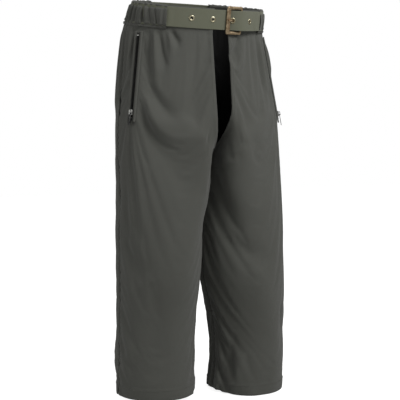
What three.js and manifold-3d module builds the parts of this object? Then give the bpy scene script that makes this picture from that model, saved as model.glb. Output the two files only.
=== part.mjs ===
// Protective leg chaps that hang from a webbing belt: two lined fabric legs, joined only by
// the belt that runs through a gathered tunnel at the top of each leg.
//
// Millimetres. +Z is up, the front of the wearer faces -Y and the wearer's left is +X.
// The origin is the middle of the waist ring, which is what carries the chaps in use.
// Every leg piece is built for the wearer's left leg and mirrored for the right one.

import * as THREE from 'three';
import { mergeVertices } from 'three/addons/utils/BufferGeometryUtils.js';
import Module from 'manifold-3d';

const wasm = await Module();
wasm.setup();

const { degToRad, lerp, smoothstep, clamp } = THREE.MathUtils;

// ---------------------------------------------------------------- driving dimensions

// Waist ring: an ellipse in a plane that rises towards the back.
const waistHeight = 795;      // from the hem to the middle of the belt
const waistWide = 157;        // half-width across the hips
const waistDeep = 111;        // half-depth, front to back
const waistTilt = 10;         // degrees
const frontGap = 37;          // between the two front edges, under the buckle
const backEdgeAngle = 150;    // where each leg ends behind, degrees round from the front

// Hip ring: level, at the foot of the zips.
const hipHeight = 575;
const hipWide = 186;
const hipDeep = 125;
const hipForward = 9;         // the hip ring stands ahead of the waist ring

// Leg tubes: half-width, half-depth and middle at four heights.
const legForward = 26;        // leg middles stand ahead of the waist middle
const crotchHeight = 490;
const hem = { height: 0, middle: 110, wide: 80, deep: 88 };
const shin = { height: 120, middle: 110, wide: 80, deep: 88 };
const thigh = { height: 300, middle: 98, wide: 91, deep: 100 };
const crotch = { height: crotchHeight, middle: 95, wide: 85, deep: 100 };
const legStations = [hem, shin, thigh, crotch];

// The tube opens into the hip ring above the crotch, along a curved edge front and back.
const frontCurveTop = 600;
const backCurveTop = 680;
const spreadStart = 400;      // the sides of the tube start to spread here
const edgeReach = 75;         // degrees round the leg over which the edge curve fades
const fullness = 36;          // the front swells towards the other leg at the crotch

// Fabric layers.
const shellThick = 1.2;
const padThick = 5;
const liningThick = 1;
const pocketThick = 1.2;
const layerGap = 0.5;
const seamGap = 0.15;         // degrees round the leg left open at each side of a seam

// Waist band and belt.
const beltTall = 40;
const beltThick = 2;
const bandRise = beltTall / 2 + 2;     // leg top above the middle of the belt
const bandDrop = beltTall / 2 + 10;    // the band joins the leg below the belt
const tunnelMouth = 42;       // degrees round from the front
const tunnelRoom = 7.2;       // free depth inside a tunnel, for two belt layers
const tunnelThick = 1.2;
const elasticTall = 38;
const elasticThick = 1.2;
const bandGap = 0.6;          // between the leg and what lies on it at the waist

// Buckle: a flat rectangular frame on a heel bar, with one prong.
const heelAngle = 17.7;
const buckleReach = 31.6;     // heel bar to far bar, between their middles
const buckleTall = 57;
const farBarWide = 9;
const armTall = 6.3;
const heelBarSize = 5;
const frameThick = 5;
const frameBevel = 1.2;
const frameCorner = 4;
const prongWide = 3.4;
const prongThick = 2.4;
const prongClearance = 0.3;

// Belt run: the sewn loop on the heel bar, and the eyelets in the free end.
const loopFlap = 37;          // sewn-back length, measured from the heel bar
const loopSlope = 44;         // over which the belt comes down from the heel bar
const loopClearance = 0.38;
const beltTip = 62;
const eyeletPitch = 45;
const prongEyeletReach = 20.3;  // heel bar to the eyelet that the prong is in
const eyeletBore = 2.8;
const eyeletRim = 6;
const eyeletWall = 0.6;
const eyeletFlange = 0.7;
const eyeletLift = 0.5;       // of the flange above the curved belt
const eyeletsBeforeProng = 2;
const eyeletsAfterProng = 1;

// Hip pocket and its zip, which runs straight down the front panel.
const zipAngle = 68.5;          // degrees round from the front
const zipFoot = 577;          // height of the lowest tooth
const zipLength = 168;
const tapeWide = 8.5;
const tapeThick = 0.8;
const teethWide = 4.4;
const teethThick = 1.6;
const fit = 0.3;              // clearance between touching zip pieces
const sliderLong = 11;
const sliderWide = 9;
const sliderWall = 1.9;
const pullerWide = 6;
const pullerLong = 25;
const pullerThick = 1.2;
const pocketFoot = 560;

// Hand slit in the side seam.
const slitFoot = 580;
const slitTall = 64;
const slitWide = 3;

// Cut-protection pad, between shell and lining over the front of the leg.
const padFoot = 70;
const padTop = 538;
const padInner = 30;          // degrees round the leg from the inseam
const padOuter = 120;

// ---------------------------------------------------------------- materials

function fabric(color, roughness = 0.95) {
  return new THREE.MeshStandardMaterial({ color, roughness, metalness: 0 });
}

function metal(color, roughness) {
  return new THREE.MeshStandardMaterial({ color, roughness, metalness: 1 });
}

const shellCloth = fabric(0x56554f);
const liningCloth = fabric(0x0c0c0b);
const padFelt = fabric(0xd9d2bd);
const webbing = fabric(0x6a695c, 0.85);
const elasticWeb = fabric(0x1b1b1a, 0.9);
const tapeCloth = fabric(0x1c1c1a, 0.9);
const thread = fabric(0x8a8979, 0.8);
const brass = metal(0xb89a66, 0.35);
const zipMetal = metal(0x9a9488, 0.4);

// ---------------------------------------------------------------- solids

function span(from, to, cells) {
  return Array.from({ length: cells + 1 }, (_, i) => lerp(from, to, i / cells));
}

function solid(geometry) {
  const bare = geometry.clone();
  bare.deleteAttribute('normal');
  bare.deleteAttribute('uv');
  const merged = mergeVertices(bare, 1e-4);
  return new wasm.Manifold(new wasm.Mesh({
    numProp: 3,
    vertProperties: new Float32Array(merged.attributes.position.array),
    triVerts: new Uint32Array(merged.index.array),
  }));
}

function geometryOf(manifold) {
  const mesh = manifold.getMesh();
  const geometry = new THREE.BufferGeometry();
  geometry.setAttribute('position', new THREE.BufferAttribute(mesh.vertProperties, 3));
  geometry.setIndex(new THREE.BufferAttribute(mesh.triVerts, 1));
  geometry.computeVertexNormals();
  return geometry;
}

function without(geometry, ...cutters) {
  return geometryOf(cutters.reduce((rest, cutter) => rest.subtract(solid(cutter)), solid(geometry)));
}

function joined(...pieces) {
  return geometryOf(pieces.map(solid).reduce((whole, piece) => whole.add(piece)));
}

function fromTriangles(points, triangles) {
  const geometry = new THREE.BufferGeometry();
  geometry.setAttribute('position', new THREE.Float32BufferAttribute(points.flatMap((p) => p.toArray()), 3));
  geometry.setIndex(triangles.flat());
  geometry.computeVertexNormals();
  return geometry;
}

function turnedOver(geometry) {
  const index = geometry.index.array;
  for (let i = 0; i < index.length; i += 3) {
    [index[i], index[i + 1]] = [index[i + 1], index[i]];
  }
  geometry.computeVertexNormals();
  return geometry;
}

function mirrored(geometry) {
  const copy = geometry.index ? geometry.clone() : mergeVertices(geometry.clone());
  copy.scale(-1, 1, 1);
  return turnedOver(copy);
}

// A closed sheet over a grid of columns and rows. `face(column, row)` is the outer point and
// `back(column, row)` the inner one; outside is where column x row directions point.
function sheet(columns, rows, face, back) {
  const wide = columns.length;
  const tall = rows.length;
  const outer = rows.flatMap((row) => columns.map((column) => face(column, row)));
  const inner = rows.flatMap((row) => columns.map((column) => back(column, row)));
  const under = wide * tall;
  const at = (c, r) => r * wide + c;
  const triangles = [];
  for (let r = 0; r < tall - 1; r++) {
    for (let c = 0; c < wide - 1; c++) {
      const [a, b, d, e] = [at(c, r), at(c + 1, r), at(c + 1, r + 1), at(c, r + 1)];
      triangles.push([a, b, d], [a, d, e]);
      triangles.push([a + under, d + under, b + under], [a + under, e + under, d + under]);
    }
  }
  const rim = [];
  for (let c = 0; c < wide - 1; c++) rim.push(at(c, 0));
  for (let r = 0; r < tall - 1; r++) rim.push(at(wide - 1, r));
  for (let c = wide - 1; c > 0; c--) rim.push(at(c, tall - 1));
  for (let r = tall - 1; r > 0; r--) rim.push(at(0, r));
  rim.forEach((p, i) => {
    const q = rim[(i + 1) % rim.length];
    triangles.push([q, p, p + under], [q, p + under, q + under]);
  });
  return fromTriangles([...outer, ...inner], triangles);
}

// A closed ring section of [out, up] points, carried round the waist ring between two angles.
function waistSweep(section, fromAngle, toAngle, steps) {
  const corners = section.length;
  const rings = span(fromAngle, toAngle, steps);
  const points = rings.flatMap((angle) => section.map(([out, up]) => waistPoint(angle, up, out)));
  const triangles = [];
  for (let ring = 0; ring < steps; ring++) {
    for (let k = 0; k < corners; k++) {
      const a = ring * corners + k;
      const b = ring * corners + ((k + 1) % corners);
      triangles.push([a, b + corners, b], [a, a + corners, b + corners]);
    }
  }
  const caps = THREE.ShapeUtils.triangulateShape(section.map(([out, up]) => new THREE.Vector2(out, up)), []);
  const last = steps * corners;
  for (const [a, b, c] of caps) {
    triangles.push([a, b, c], [c + last, b + last, a + last]);
  }
  return fromTriangles(points, triangles);
}

function block(wide, deep, tall, x, y, z) {
  return new THREE.BoxGeometry(wide, deep, tall).translate(x, y, z);
}

// ---------------------------------------------------------------- waist ring

const waistTurn = new THREE.Matrix4().makeRotationX(degToRad(waistTilt));

// A point of the waist ring in the ring's own level frame.
function waistPoint(angle, up, out) {
  const turn = degToRad(angle);
  const point = new THREE.Vector3(waistWide * Math.sin(turn), -waistDeep * Math.cos(turn), up);
  return point.addScaledVector(waistOutward(angle), out);
}

function waistOutward(angle) {
  const turn = degToRad(angle);
  return new THREE.Vector3(waistDeep * Math.sin(turn), -waistWide * Math.cos(turn), 0).normalize();
}

// ---------------------------------------------------------------- leg surface

const frontEdgeAngle = THREE.MathUtils.radToDeg(Math.asin(frontGap / 2 / waistWide));
const sideAngle = 90;
const bandFoot = waistHeight - bandDrop;
const bandTop = waistHeight + bandRise;

// `round` goes round the leg in degrees: 0 at the inseam, 90 in front, 180 at the side seam,
// 270 behind and 360 at the inseam again. This gives the matching angle on the waist ring.
function ringAngle(round) {
  if (round <= 180) {
    return lerp(frontEdgeAngle, sideAngle, round / 180);
  }
  return lerp(sideAngle, backEdgeAngle, (round - 180) / 180);
}

function roundAt(angle) {
  return 180 * (angle - frontEdgeAngle) / (sideAngle - frontEdgeAngle);
}

function tubePoint(round, height) {
  let low = legStations[0];
  let high = low;
  for (const station of legStations) {
    low = height >= high.height ? high : low;
    high = height > high.height ? station : high;
  }
  const share = high === low ? 0 : smoothstep(height, low.height, high.height);
  const middle = lerp(low.middle, high.middle, share);
  const wide = lerp(low.wide, high.wide, share);
  const deep = lerp(low.deep, high.deep, share);
  const turn = degToRad(round);
  return new THREE.Vector3(middle - wide * Math.cos(turn), -legForward - deep * Math.sin(turn), 0);
}

// How far the section has opened from the tube (0) to the hip ring (1).
function openness(round, height) {
  const isFront = round <= 180;
  const fromEdge = isFront ? round : 360 - round;
  const curveTop = isFront ? frontCurveTop : backCurveTop;
  const climb = clamp((height - crotchHeight) / (curveTop - crotchHeight), 0, 1);
  const edge = Math.sin(climb * Math.PI / 2);
  const body = smoothstep(height, spreadStart, hipHeight);
  return lerp(edge, body, smoothstep(fromEdge, 0, edgeReach));
}

// The outer face of the left leg.
function legPoint(round, height) {
  const angle = ringAngle(round);
  const low = waistPoint(angle, -bandDrop, 0).applyMatrix4(waistTurn);
  if (height >= bandFoot) {
    const high = waistPoint(angle, bandRise, 0).applyMatrix4(waistTurn);
    return low.lerp(high, (height - bandFoot) / (bandTop - bandFoot));
  }
  const turn = degToRad(angle);
  const ringHeight = Math.min(height, hipHeight) - waistHeight;
  const ring = new THREE.Vector3(hipWide * Math.sin(turn), -hipForward - hipDeep * Math.cos(turn), ringHeight);
  ring.lerp(low, Math.max(0, (height - hipHeight) / (bandFoot - hipHeight)));
  const tube = tubePoint(round, height).setZ(ring.z);
  return tube.lerp(ring, openness(round, height)).add(swell(round, height));
}

// The front of the leg is squarer beside the crotch than either the tube or the hip ring.
function swell(round, height) {
  const share = round < 90 ? Math.sin(degToRad(2 * round)) ** 2 : 0;
  const rise = smoothstep(height, 340, 520) * (1 - smoothstep(height, 530, frontCurveTop));
  const reach = -fullness * share * rise * Math.SQRT1_2;
  return new THREE.Vector3(reach, reach, 0);
}

function legOutward(round, height) {
  const step = 0.5;
  const ahead = legPoint(Math.min(round + step, 360), height);
  const along = ahead.sub(legPoint(Math.max(round - step, 0), height));
  const top = Math.min(height + step, bandTop);
  const up = legPoint(round, top).sub(legPoint(round, Math.max(height - step, 0)));
  return along.cross(up).normalize();
}

// A point `depth` inside the outer face.
function legDepth(round, height, depth) {
  return legPoint(round, height).addScaledVector(legOutward(round, height), -depth);
}

// ---------------------------------------------------------------- leg pieces

const zipRound = roundAt(zipAngle);
const zipColumn = 10;         // degrees between the columns beside the zip
const frontColumns = [
  ...span(seamGap, padInner, 2),
  ...span(padInner, padOuter, 6).slice(1),
  ...span(zipRound - zipColumn, zipRound + zipColumn, 2),
  ...span(zipRound + zipColumn, 180 - seamGap, 2).slice(1),
];
const padCurveRow = 515;      // extra rows of corners where the surface bends
const hipRow = 640;
const backColumns = span(180 + seamGap, 360 - seamGap, 10);
const legRows = [
  ...span(hem.height, shin.height, 2),
  ...span(shin.height, thigh.height, 2).slice(1),
  ...span(thigh.height, crotchHeight, 3).slice(1),
  padCurveRow, padTop, pocketFoot, hipHeight, frontCurveTop, hipRow, backCurveTop, bandFoot, bandTop,
];

const padColumns = frontColumns.filter((round) => round >= padInner && round <= padOuter);
const padRows = legRows.filter((height) => height >= padFoot && height <= padTop);
const pocketColumns = frontColumns.filter((round) => Math.abs(round - zipRound) < 25);
const pocketRows = legRows.filter((height) => height >= pocketFoot && height <= bandFoot);

function layer(columns, rows, faceDepth, thick) {
  const face = (round, height) => legDepth(round, height, faceDepth(round, height));
  const back = (round, height) => legDepth(round, height, faceDepth(round, height) + thick);
  return sheet(columns, rows, face, back);
}

const underShell = shellThick + layerGap;

// The lining lies under the shell, and under the pad or the pocket where there is one.
function liningDepth(round, height) {
  if (padColumns.includes(round) && padRows.includes(height)) {
    return underShell + padThick + layerGap;
  }
  if (pocketColumns.includes(round) && pocketRows.includes(height)) {
    return underShell + pocketThick + layerGap;
  }
  return underShell;
}

function slitCutter() {
  const middle = legPoint(180, slitFoot + slitTall / 2);
  return block(60, slitWide, slitTall, middle.x, middle.y, middle.z);
}

const tunnelLip = 0.4;        // between the leg's top edge and the tunnel's top
const tunnelSkirt = 6;        // the tunnel ends this far below the belt

function tunnel() {
  const wall = tunnelRoom + tunnelThick;
  const topLip = bandRise + tunnelLip;
  const foot = -beltTall / 2 - tunnelSkirt;
  return waistSweep([
    [wall, topLip + tunnelThick],
    [-shellThick, topLip + tunnelThick],
    [-shellThick, topLip],
    [tunnelRoom, topLip],
    [tunnelRoom, foot + tunnelThick],
    [bandGap, foot + tunnelThick],
    [bandGap, foot],
    [wall, foot],
  ], tunnelMouth, backEdgeAngle, 20).applyMatrix4(waistTurn);
}

const elasticInset = 5;       // degrees from the tunnel's mouth to the elastic

function elastic() {
  const half = elasticTall / 2;
  const face = bandGap + elasticThick;
  const section = [[face, half], [bandGap, half], [bandGap, -half], [face, -half]];
  return waistSweep(section, tunnelMouth + elasticInset, backEdgeAngle - 2, 18).applyMatrix4(waistTurn);
}

const tackThick = 0.8;
const tackTall = 1.6;
const tackLift = 0.9;         // middle of a bar tack above the cloth
const tackWide = 8;
const tackDrop = 4;           // middle of the tack below the slit

// A short dense row of thread across the side seam or the zip.
function barTack(round, height, across) {
  const middle = legDepth(round, height, -tackLift);
  const frame = legFrame(round, height).setPosition(middle);
  return new THREE.BoxGeometry(across, tackThick, tackTall).applyMatrix4(frame);
}

// Axes on the leg surface: X goes round the leg, Y points into it and Z runs up it.
function legFrame(round, height) {
  const outward = legOutward(round, height);
  const up = legPoint(round, height + 1).sub(legPoint(round, height)).normalize();
  const across = new THREE.Vector3().crossVectors(up, outward).normalize();
  return new THREE.Matrix4().makeBasis(across, outward.negate(), up);
}

function legPieces() {
  const slit = slitCutter();
  const shellDepth = () => 0;
  const whole = [...frontColumns, ...backColumns];
  return [
    ['front_panel', without(layer(frontColumns, legRows, shellDepth, shellThick), slit), shellCloth],
    ['back_panel', without(layer(backColumns, legRows, shellDepth, shellThick), slit), shellCloth],
    ['lining', without(layer(whole, legRows, liningDepth, liningThick), slit), liningCloth],
    ['cut_protection_pad', layer(padColumns, padRows, () => underShell, padThick), padFelt],
    ['pocket_bag', layer(pocketColumns, pocketRows, () => underShell, pocketThick), liningCloth],
    ['waist_tunnel', tunnel(), shellCloth],
    ['waist_elastic', elastic(), elasticWeb],
    ['slit_bar_tack', barTack(180, slitFoot - tackDrop, tackWide), thread],
  ];
}

// ---------------------------------------------------------------- zip

const tapeFace = bandGap + tapeThick;
const teethFoot = tapeFace + fit;
const teethFace = teethFoot + teethThick;
const sliderFoot = 4;         // rest position of the slider's lower end above the lowest tooth
const sliderFace = teethFace + fit + sliderWall;
const bailLong = 8;
const bailBar = 1.4;
const bailRoom = 1.9;
const bailWide = 2;
const windowWide = 3;         // opening in the pull tab, round the bail
const windowTall = 4.4;
const stopTall = 2.2;
const tapeOverrun = 5;        // tape past each end of the teeth
const tapeApart = 0.4;        // between the two tapes
const pullerOut = sliderFace + bailRoom / 2;
const pullerHinge = sliderFoot + sliderLong / 2 - bailLong / 2 + bailBar + 1;

const zipFrame = legFrame(zipRound, (zipFoot + bandFoot) / 2).setPosition(legPoint(zipRound, zipFoot));

// In the zip's frame -Y is outwards, so a piece from `low` to `high` out sits between them.
function plate(wide, low, high, foot, top, x = 0) {
  return block(wide, high - low, top - foot, x, -(low + high) / 2, (foot + top) / 2);
}

function zipSlider() {
  const top = sliderFoot + sliderLong;
  const body = plate(sliderWide, teethFoot, sliderFace, sliderFoot, top);
  const channel = plate(teethWide + 4 * fit, teethFoot - 1, teethFace + fit, sliderFoot - 1, top + 1);
  const bailFoot = sliderFoot + (sliderLong - bailLong) / 2;
  const bailTop = bailFoot + bailLong;
  const bailFace = sliderFace + bailRoom;
  const bail = plate(bailWide, sliderFace - 0.5, bailFace + bailBar, bailFoot, bailTop);
  const bailHole = plate(2 * bailWide, sliderFace, bailFace, bailFoot + bailBar, bailTop - bailBar);
  const loop = solid(bail).subtract(solid(bailHole));
  return geometryOf(solid(body).subtract(solid(channel)).add(loop));
}

// The pull tab hangs from its top bar, which passes through the slider's bail.
function zipPuller() {
  const low = pullerOut - pullerThick / 2;
  const high = pullerOut + pullerThick / 2;
  const top = pullerHinge + pullerThick / 2;
  const tab = plate(pullerWide, low, high, top - pullerLong, top);
  const windowTop = pullerHinge - pullerThick / 2;
  const window = plate(windowWide, low - 1, high + 1, pullerHinge - windowTall, windowTop);
  return without(tab, window);
}

function zipPieces() {
  const tapeMiddle = (tapeWide + tapeApart) / 2;
  const tapeTop = zipLength + tapeOverrun;
  const end = zipLength + fit;
  const pieces = [
    ['zip_tape_front', plate(tapeWide, bandGap, tapeFace, -tapeOverrun, tapeTop, -tapeMiddle), tapeCloth],
    ['zip_tape_back', plate(tapeWide, bandGap, tapeFace, -tapeOverrun, tapeTop, tapeMiddle), tapeCloth],
    ['zip_teeth', plate(teethWide, teethFoot, teethFace, 0, zipLength), zipMetal],
    ['zip_top_stop', plate(teethWide, teethFoot, teethFace, end, end + stopTall), zipMetal],
    ['zip_bottom_stop', plate(teethWide, teethFoot, teethFace, -fit - stopTall, -fit), zipMetal],
    ['zip_slider', zipSlider(), zipMetal],
    ['zip_puller', zipPuller(), zipMetal],
  ];
  return pieces.map(([name, geometry, material]) => [name, geometry.applyMatrix4(zipFrame), material]);
}

// ---------------------------------------------------------------- belt and buckle

// All of these lie in the plan of the waist ring, with up along its axis.
const flapOut = bandGap + beltThick / 2;
const loopRadius = Math.hypot(heelBarSize / 2, heelBarSize / 2 - frameBevel) + loopClearance + beltThick / 2;
const heelOut = flapOut + loopRadius;
const layerPitch = beltThick + 0.5;
const tunnelOut = bandGap + elasticThick + layerGap + beltThick / 2;

function planPoint(angle, out) {
  return waistPoint(angle, 0, out);
}

// The fixed end, from the top of its loop on the heel bar to the tunnel.
function fixedOut(angle) {
  const off = lerp(heelOut + loopRadius, flapOut + layerPitch, smoothstep(angle, heelAngle, slopeEndAngle));
  return lerp(off, tunnelOut, smoothstep(angle, flapEndAngle + 2, tunnelMouth - 2));
}

const flapEndAngle = angleAfter(heelAngle, loopFlap);
const slopeEndAngle = angleAfter(heelAngle, loopSlope);
const prongEyeletAngle = angleAfter(heelAngle, -prongEyeletReach);
const farBarAngle = angleAfter(heelAngle, -buckleReach);
const climbAngle = angleAfter(farBarAngle, farBarWide / 2 + 0.6);

// The angle that lies `length` further round, measured along the waist ring.
function angleAfter(angle, length) {
  const turn = degToRad(angle);
  const perRadian = Math.hypot(waistWide * Math.cos(turn), waistDeep * Math.sin(turn));
  return angle + THREE.MathUtils.radToDeg(length / perRadian);
}

// The free end: out of the right tunnel, behind the far bar, over the heel bar, then over
// the fixed end into the left tunnel.
function freeOut(angle) {
  if (angle >= heelAngle) {
    return fixedOut(angle) + layerPitch;
  }
  const flat = lerp(tunnelOut, flapOut, smoothstep(angle, -tunnelMouth, 7 - tunnelMouth));
  const climb = Math.sin(clamp((angle - climbAngle) / (heelAngle - climbAngle), 0, 1) * Math.PI / 2);
  return lerp(flat, heelOut + loopRadius + layerPitch, climb);
}

const heelBar = planPoint(heelAngle, heelOut);
const farBar = planPoint(farBarAngle, heelOut);
const acrossBuckle = farBar.clone().sub(heelBar).normalize();
const outOfBuckle = new THREE.Vector3().crossVectors(acrossBuckle, new THREE.Vector3(0, 0, 1)).negate();

function strapRoute() {
  const flap = span(flapEndAngle, heelAngle, 5).map((angle) => planPoint(angle, flapOut));
  const loop = span(0, 180, 8).slice(1, -1).map((turn) => {
    const around = new THREE.Vector3();
    around.addScaledVector(waistOutward(heelAngle), -Math.cos(degToRad(turn)) * loopRadius);
    around.addScaledVector(tangentAt(heelAngle), -Math.sin(degToRad(turn)) * loopRadius);
    return around.add(heelBar);
  });
  const fixed = span(heelAngle, tunnelMouth, 14).map((angle) => planPoint(angle, fixedOut(angle)));
  const behind = span(tunnelMouth, 360 - tunnelMouth, 54).slice(1, -1);
  const round = behind.map((angle) => planPoint(angle, tunnelOut));
  const front = span(-tunnelMouth, farBarAngle, 12).map((angle) => planPoint(angle, freeOut(angle)));
  const free = span(farBarAngle, beltTip, 36).slice(1).map((angle) => planPoint(angle, freeOut(angle)));
  return [...flap, ...loop, ...fixed, ...round, ...front, ...free];
}

function tangentAt(angle) {
  return planPoint(angle + 0.5, 0).sub(planPoint(angle - 0.5, 0)).normalize();
}

// A band of even thickness along a route in plan, drawn as a closed outline.
function bandOutline(route, thick) {
  const sides = [1, -1].map((side) => route.map((point, i) => {
    const before = route[Math.max(i - 1, 0)];
    const after = route[Math.min(i + 1, route.length - 1)];
    const along = after.clone().sub(before).normalize();
    return new THREE.Vector2(point.x - side * along.y * thick / 2, point.y + side * along.x * thick / 2);
  }));
  return new THREE.Shape([...sides[0], ...sides[1].reverse()]);
}

function extruded(shape, tall) {
  return new THREE.ExtrudeGeometry(shape, { depth: tall, bevelEnabled: false }).translate(0, 0, -tall / 2);
}

// Where each eyelet sits in the free end, and which way it faces.
function eyeletSeat(place) {
  const step = 0.25;
  let angle = prongEyeletAngle;
  let left = Math.abs(place) * eyeletPitch;
  const way = Math.sign(place) * step;
  while (left > 0) {
    const from = planPoint(angle, freeOut(angle));
    const to = planPoint(angle + way, freeOut(angle + way));
    angle += way * Math.min(1, left / from.distanceTo(to));
    left -= from.distanceTo(to);
  }
  const middle = planPoint(angle, freeOut(angle));
  const ahead = planPoint(angle + step, freeOut(angle + step));
  const behind = planPoint(angle - step, freeOut(angle - step));
  const along = ahead.sub(behind).normalize();
  return { middle, facing: new THREE.Vector3(along.y, -along.x, 0) };
}

const latheAxis = new THREE.Vector3(0, 1, 0);

function seated(geometry, seat) {
  const turn = new THREE.Quaternion().setFromUnitVectors(latheAxis, seat.facing);
  return geometry.applyQuaternion(turn).translate(seat.middle.x, seat.middle.y, seat.middle.z);
}

function eyelet(seat) {
  const half = beltThick / 2;
  const profile = [
    [eyeletBore, -half],
    [eyeletBore + eyeletWall, -half],
    [eyeletBore + eyeletWall, half + eyeletLift],
    [eyeletRim, half + eyeletLift],
    [eyeletRim - 0.5, half + eyeletLift + eyeletFlange],
    [eyeletBore, half + eyeletLift + eyeletFlange],
    [eyeletBore, -half],
  ];
  return seated(new THREE.LatheGeometry(profile.map(([r, y]) => new THREE.Vector2(r, y)), 14), seat);
}

const firstEyelet = -eyeletsBeforeProng;
const eyeletSteps = eyeletsBeforeProng + eyeletsAfterProng;
const eyeletSeats = span(firstEyelet, eyeletsAfterProng, eyeletSteps).map(eyeletSeat);
const prongSeat = eyeletSeats[eyeletsBeforeProng];

// Turns plan-upright shapes drawn as (along the buckle, out of it) into place on the buckle.
const buckleFrame = new THREE.Matrix4()
  .makeBasis(acrossBuckle, outOfBuckle, new THREE.Vector3().crossVectors(acrossBuckle, outOfBuckle))
  .setPosition(heelBar);

const slotMargin = 3.5;       // the prong's slot runs this far past the loop
const slotOvercut = 0.12;
const slotRoom = 0.6;         // more than the prong needs, in height
const holeRoom = 0.3;         // between an eyelet and its hole in the belt

function strap() {
  const holeRadius = eyeletBore + eyeletWall + holeRoom;
  const hole = new THREE.CylinderGeometry(holeRadius, holeRadius, 2 * beltThick, 14);
  const holes = eyeletSeats.map((seat) => seated(hole.clone(), seat));
  const slotReach = loopRadius + slotMargin;
  const slotTop = loopRadius + beltThick / 2 + slotOvercut;
  const slotTall = prongWide + 2 * prongClearance + slotRoom;
  const slotMiddle = (slotTop - slotReach) / 2;
  const slot = block(2 * slotReach, slotTop + slotReach, slotTall, 0, slotMiddle, 0);
  slot.applyMatrix4(buckleFrame);
  return without(extruded(bandOutline(strapRoute(), beltThick), beltTall), slot, ...holes);
}

function roundedRectangle(left, right, half, corner, Kind) {
  const outline = new Kind();
  outline.moveTo(left + corner, -half);
  outline.lineTo(right - corner, -half);
  outline.absarc(right - corner, corner - half, corner, -Math.PI / 2, 0);
  outline.lineTo(right, half - corner);
  outline.absarc(right - corner, half - corner, corner, 0, Math.PI / 2);
  outline.lineTo(left + corner, half);
  outline.absarc(left + corner, half - corner, corner, Math.PI / 2, Math.PI);
  outline.lineTo(left, corner - half);
  outline.absarc(left + corner, corner - half, corner, Math.PI, 1.5 * Math.PI);
  return outline;
}

function buckle() {
  const far = buckleReach + farBarWide / 2;
  const outline = roundedRectangle(-heelBarSize / 2, far, buckleTall / 2, frameCorner, THREE.Shape);
  const openHalf = buckleTall / 2 - armTall;
  outline.holes.push(roundedRectangle(heelBarSize / 2, far - farBarWide, openHalf, 2, THREE.Path));
  const frame = new THREE.ExtrudeGeometry(outline, {
    depth: frameThick - 2 * frameBevel,
    bevelThickness: frameBevel,
    bevelSize: frameBevel,
    bevelOffset: -frameBevel,
    bevelSegments: 1,
    curveSegments: 3,
  });
  frame.translate(0, 0, frameBevel - frameThick / 2);
  frame.rotateX(Math.PI / 2);
  return frame.applyMatrix4(buckleFrame);
}

const prongRoot = 3.6;        // start of the arm, out along the buckle from the heel bar
const prongStraight = 2.6;    // straight run each side of the belt where the prong passes it
const prongTurn = 3.4;        // depth behind the belt of the line that the arm runs along
const prongTurnShare = 0.82;  // of the way along that line before it turns out
const prongRest = 6;          // the arm lies flat from here before the far bar's middle
const prongTip = 2;           // and ends this far past it
const eyeWall = 1.4;          // of the prong's eye round the heel bar

// The prong turns on the heel bar, runs behind the free end, comes up through an eyelet and
// rests on the far bar.
function prong() {
  const toPlan = (x, y) => new THREE.Vector3(x, y, 0).applyMatrix4(buckleFrame);
  const through = (height) => prongSeat.middle.clone().addScaledVector(prongSeat.facing, height);
  const restOut = frameThick / 2 + prongClearance + prongThick / 2;
  const turnIn = new THREE.Vector3().lerpVectors(toPlan(0, 0), through(-prongTurn), prongTurnShare);
  const route = [
    toPlan(prongRoot, 0),
    turnIn,
    through(-prongStraight),
    through(0),
    through(prongStraight),
    toPlan(buckleReach - prongRest, restOut),
    toPlan(buckleReach + prongTip, restOut),
  ];
  const curve = new THREE.CatmullRomCurve3(route, false, 'centripetal');
  const arm = extruded(bandOutline(curve.getPoints(26), prongThick), prongWide);
  const boreRadius = Math.hypot(heelBarSize / 2, heelBarSize / 2 - frameBevel) + prongClearance;
  const eye = new THREE.CylinderGeometry(boreRadius + eyeWall, boreRadius + eyeWall, prongWide, 20);
  const bore = new THREE.CylinderGeometry(boreRadius, boreRadius, prongWide + 2, 20);
  for (const round of [eye, bore]) {
    round.rotateX(Math.PI / 2).translate(heelBar.x, heelBar.y, 0);
  }
  return geometryOf(solid(arm).add(solid(eye)).subtract(solid(bore)));
}

// ---------------------------------------------------------------- assembly

function mesh(name, geometry, material) {
  const piece = new THREE.Mesh(geometry, material);
  piece.name = name;
  return piece;
}

const chaps = new THREE.Group();

const onePairOfPieces = [...legPieces(), ...zipPieces()];
for (const [name, geometry, material] of onePairOfPieces) {
  chaps.add(mesh(`left_${name}`, geometry, material));
  chaps.add(mesh(`right_${name}`, mirrored(geometry), material));
}

// The belt, its eyelets and the buckle lie level in the waist ring, which is then tilted.
const waist = new THREE.Group();
waist.rotation.x = degToRad(waistTilt);
waist.add(mesh('belt_strap', strap(), webbing));
waist.add(mesh('buckle_frame', buckle(), brass));
waist.add(mesh('buckle_prong', prong(), brass));
eyeletSeats.forEach((seat, i) => waist.add(mesh(`belt_eyelet_${i + 1}`, eyelet(seat), brass)));
chaps.add(waist);

export default chaps;
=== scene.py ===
# %% [markdown]
# # Belt-hung leg chaps
# Two lined canvas legs hang from a webbing belt. Each leg is open at the seat and the front,
# and has a gathered waist tunnel, a hip zip and a cut-protection pad under its shell.
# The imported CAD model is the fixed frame: it could be shown as it is, but its cloth is stiff
# and plain, so every soft piece is modelled again here around the CAD's own places.

import math

import bmesh
import bpy
import numpy as np
from mathutils import Matrix, Vector


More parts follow.
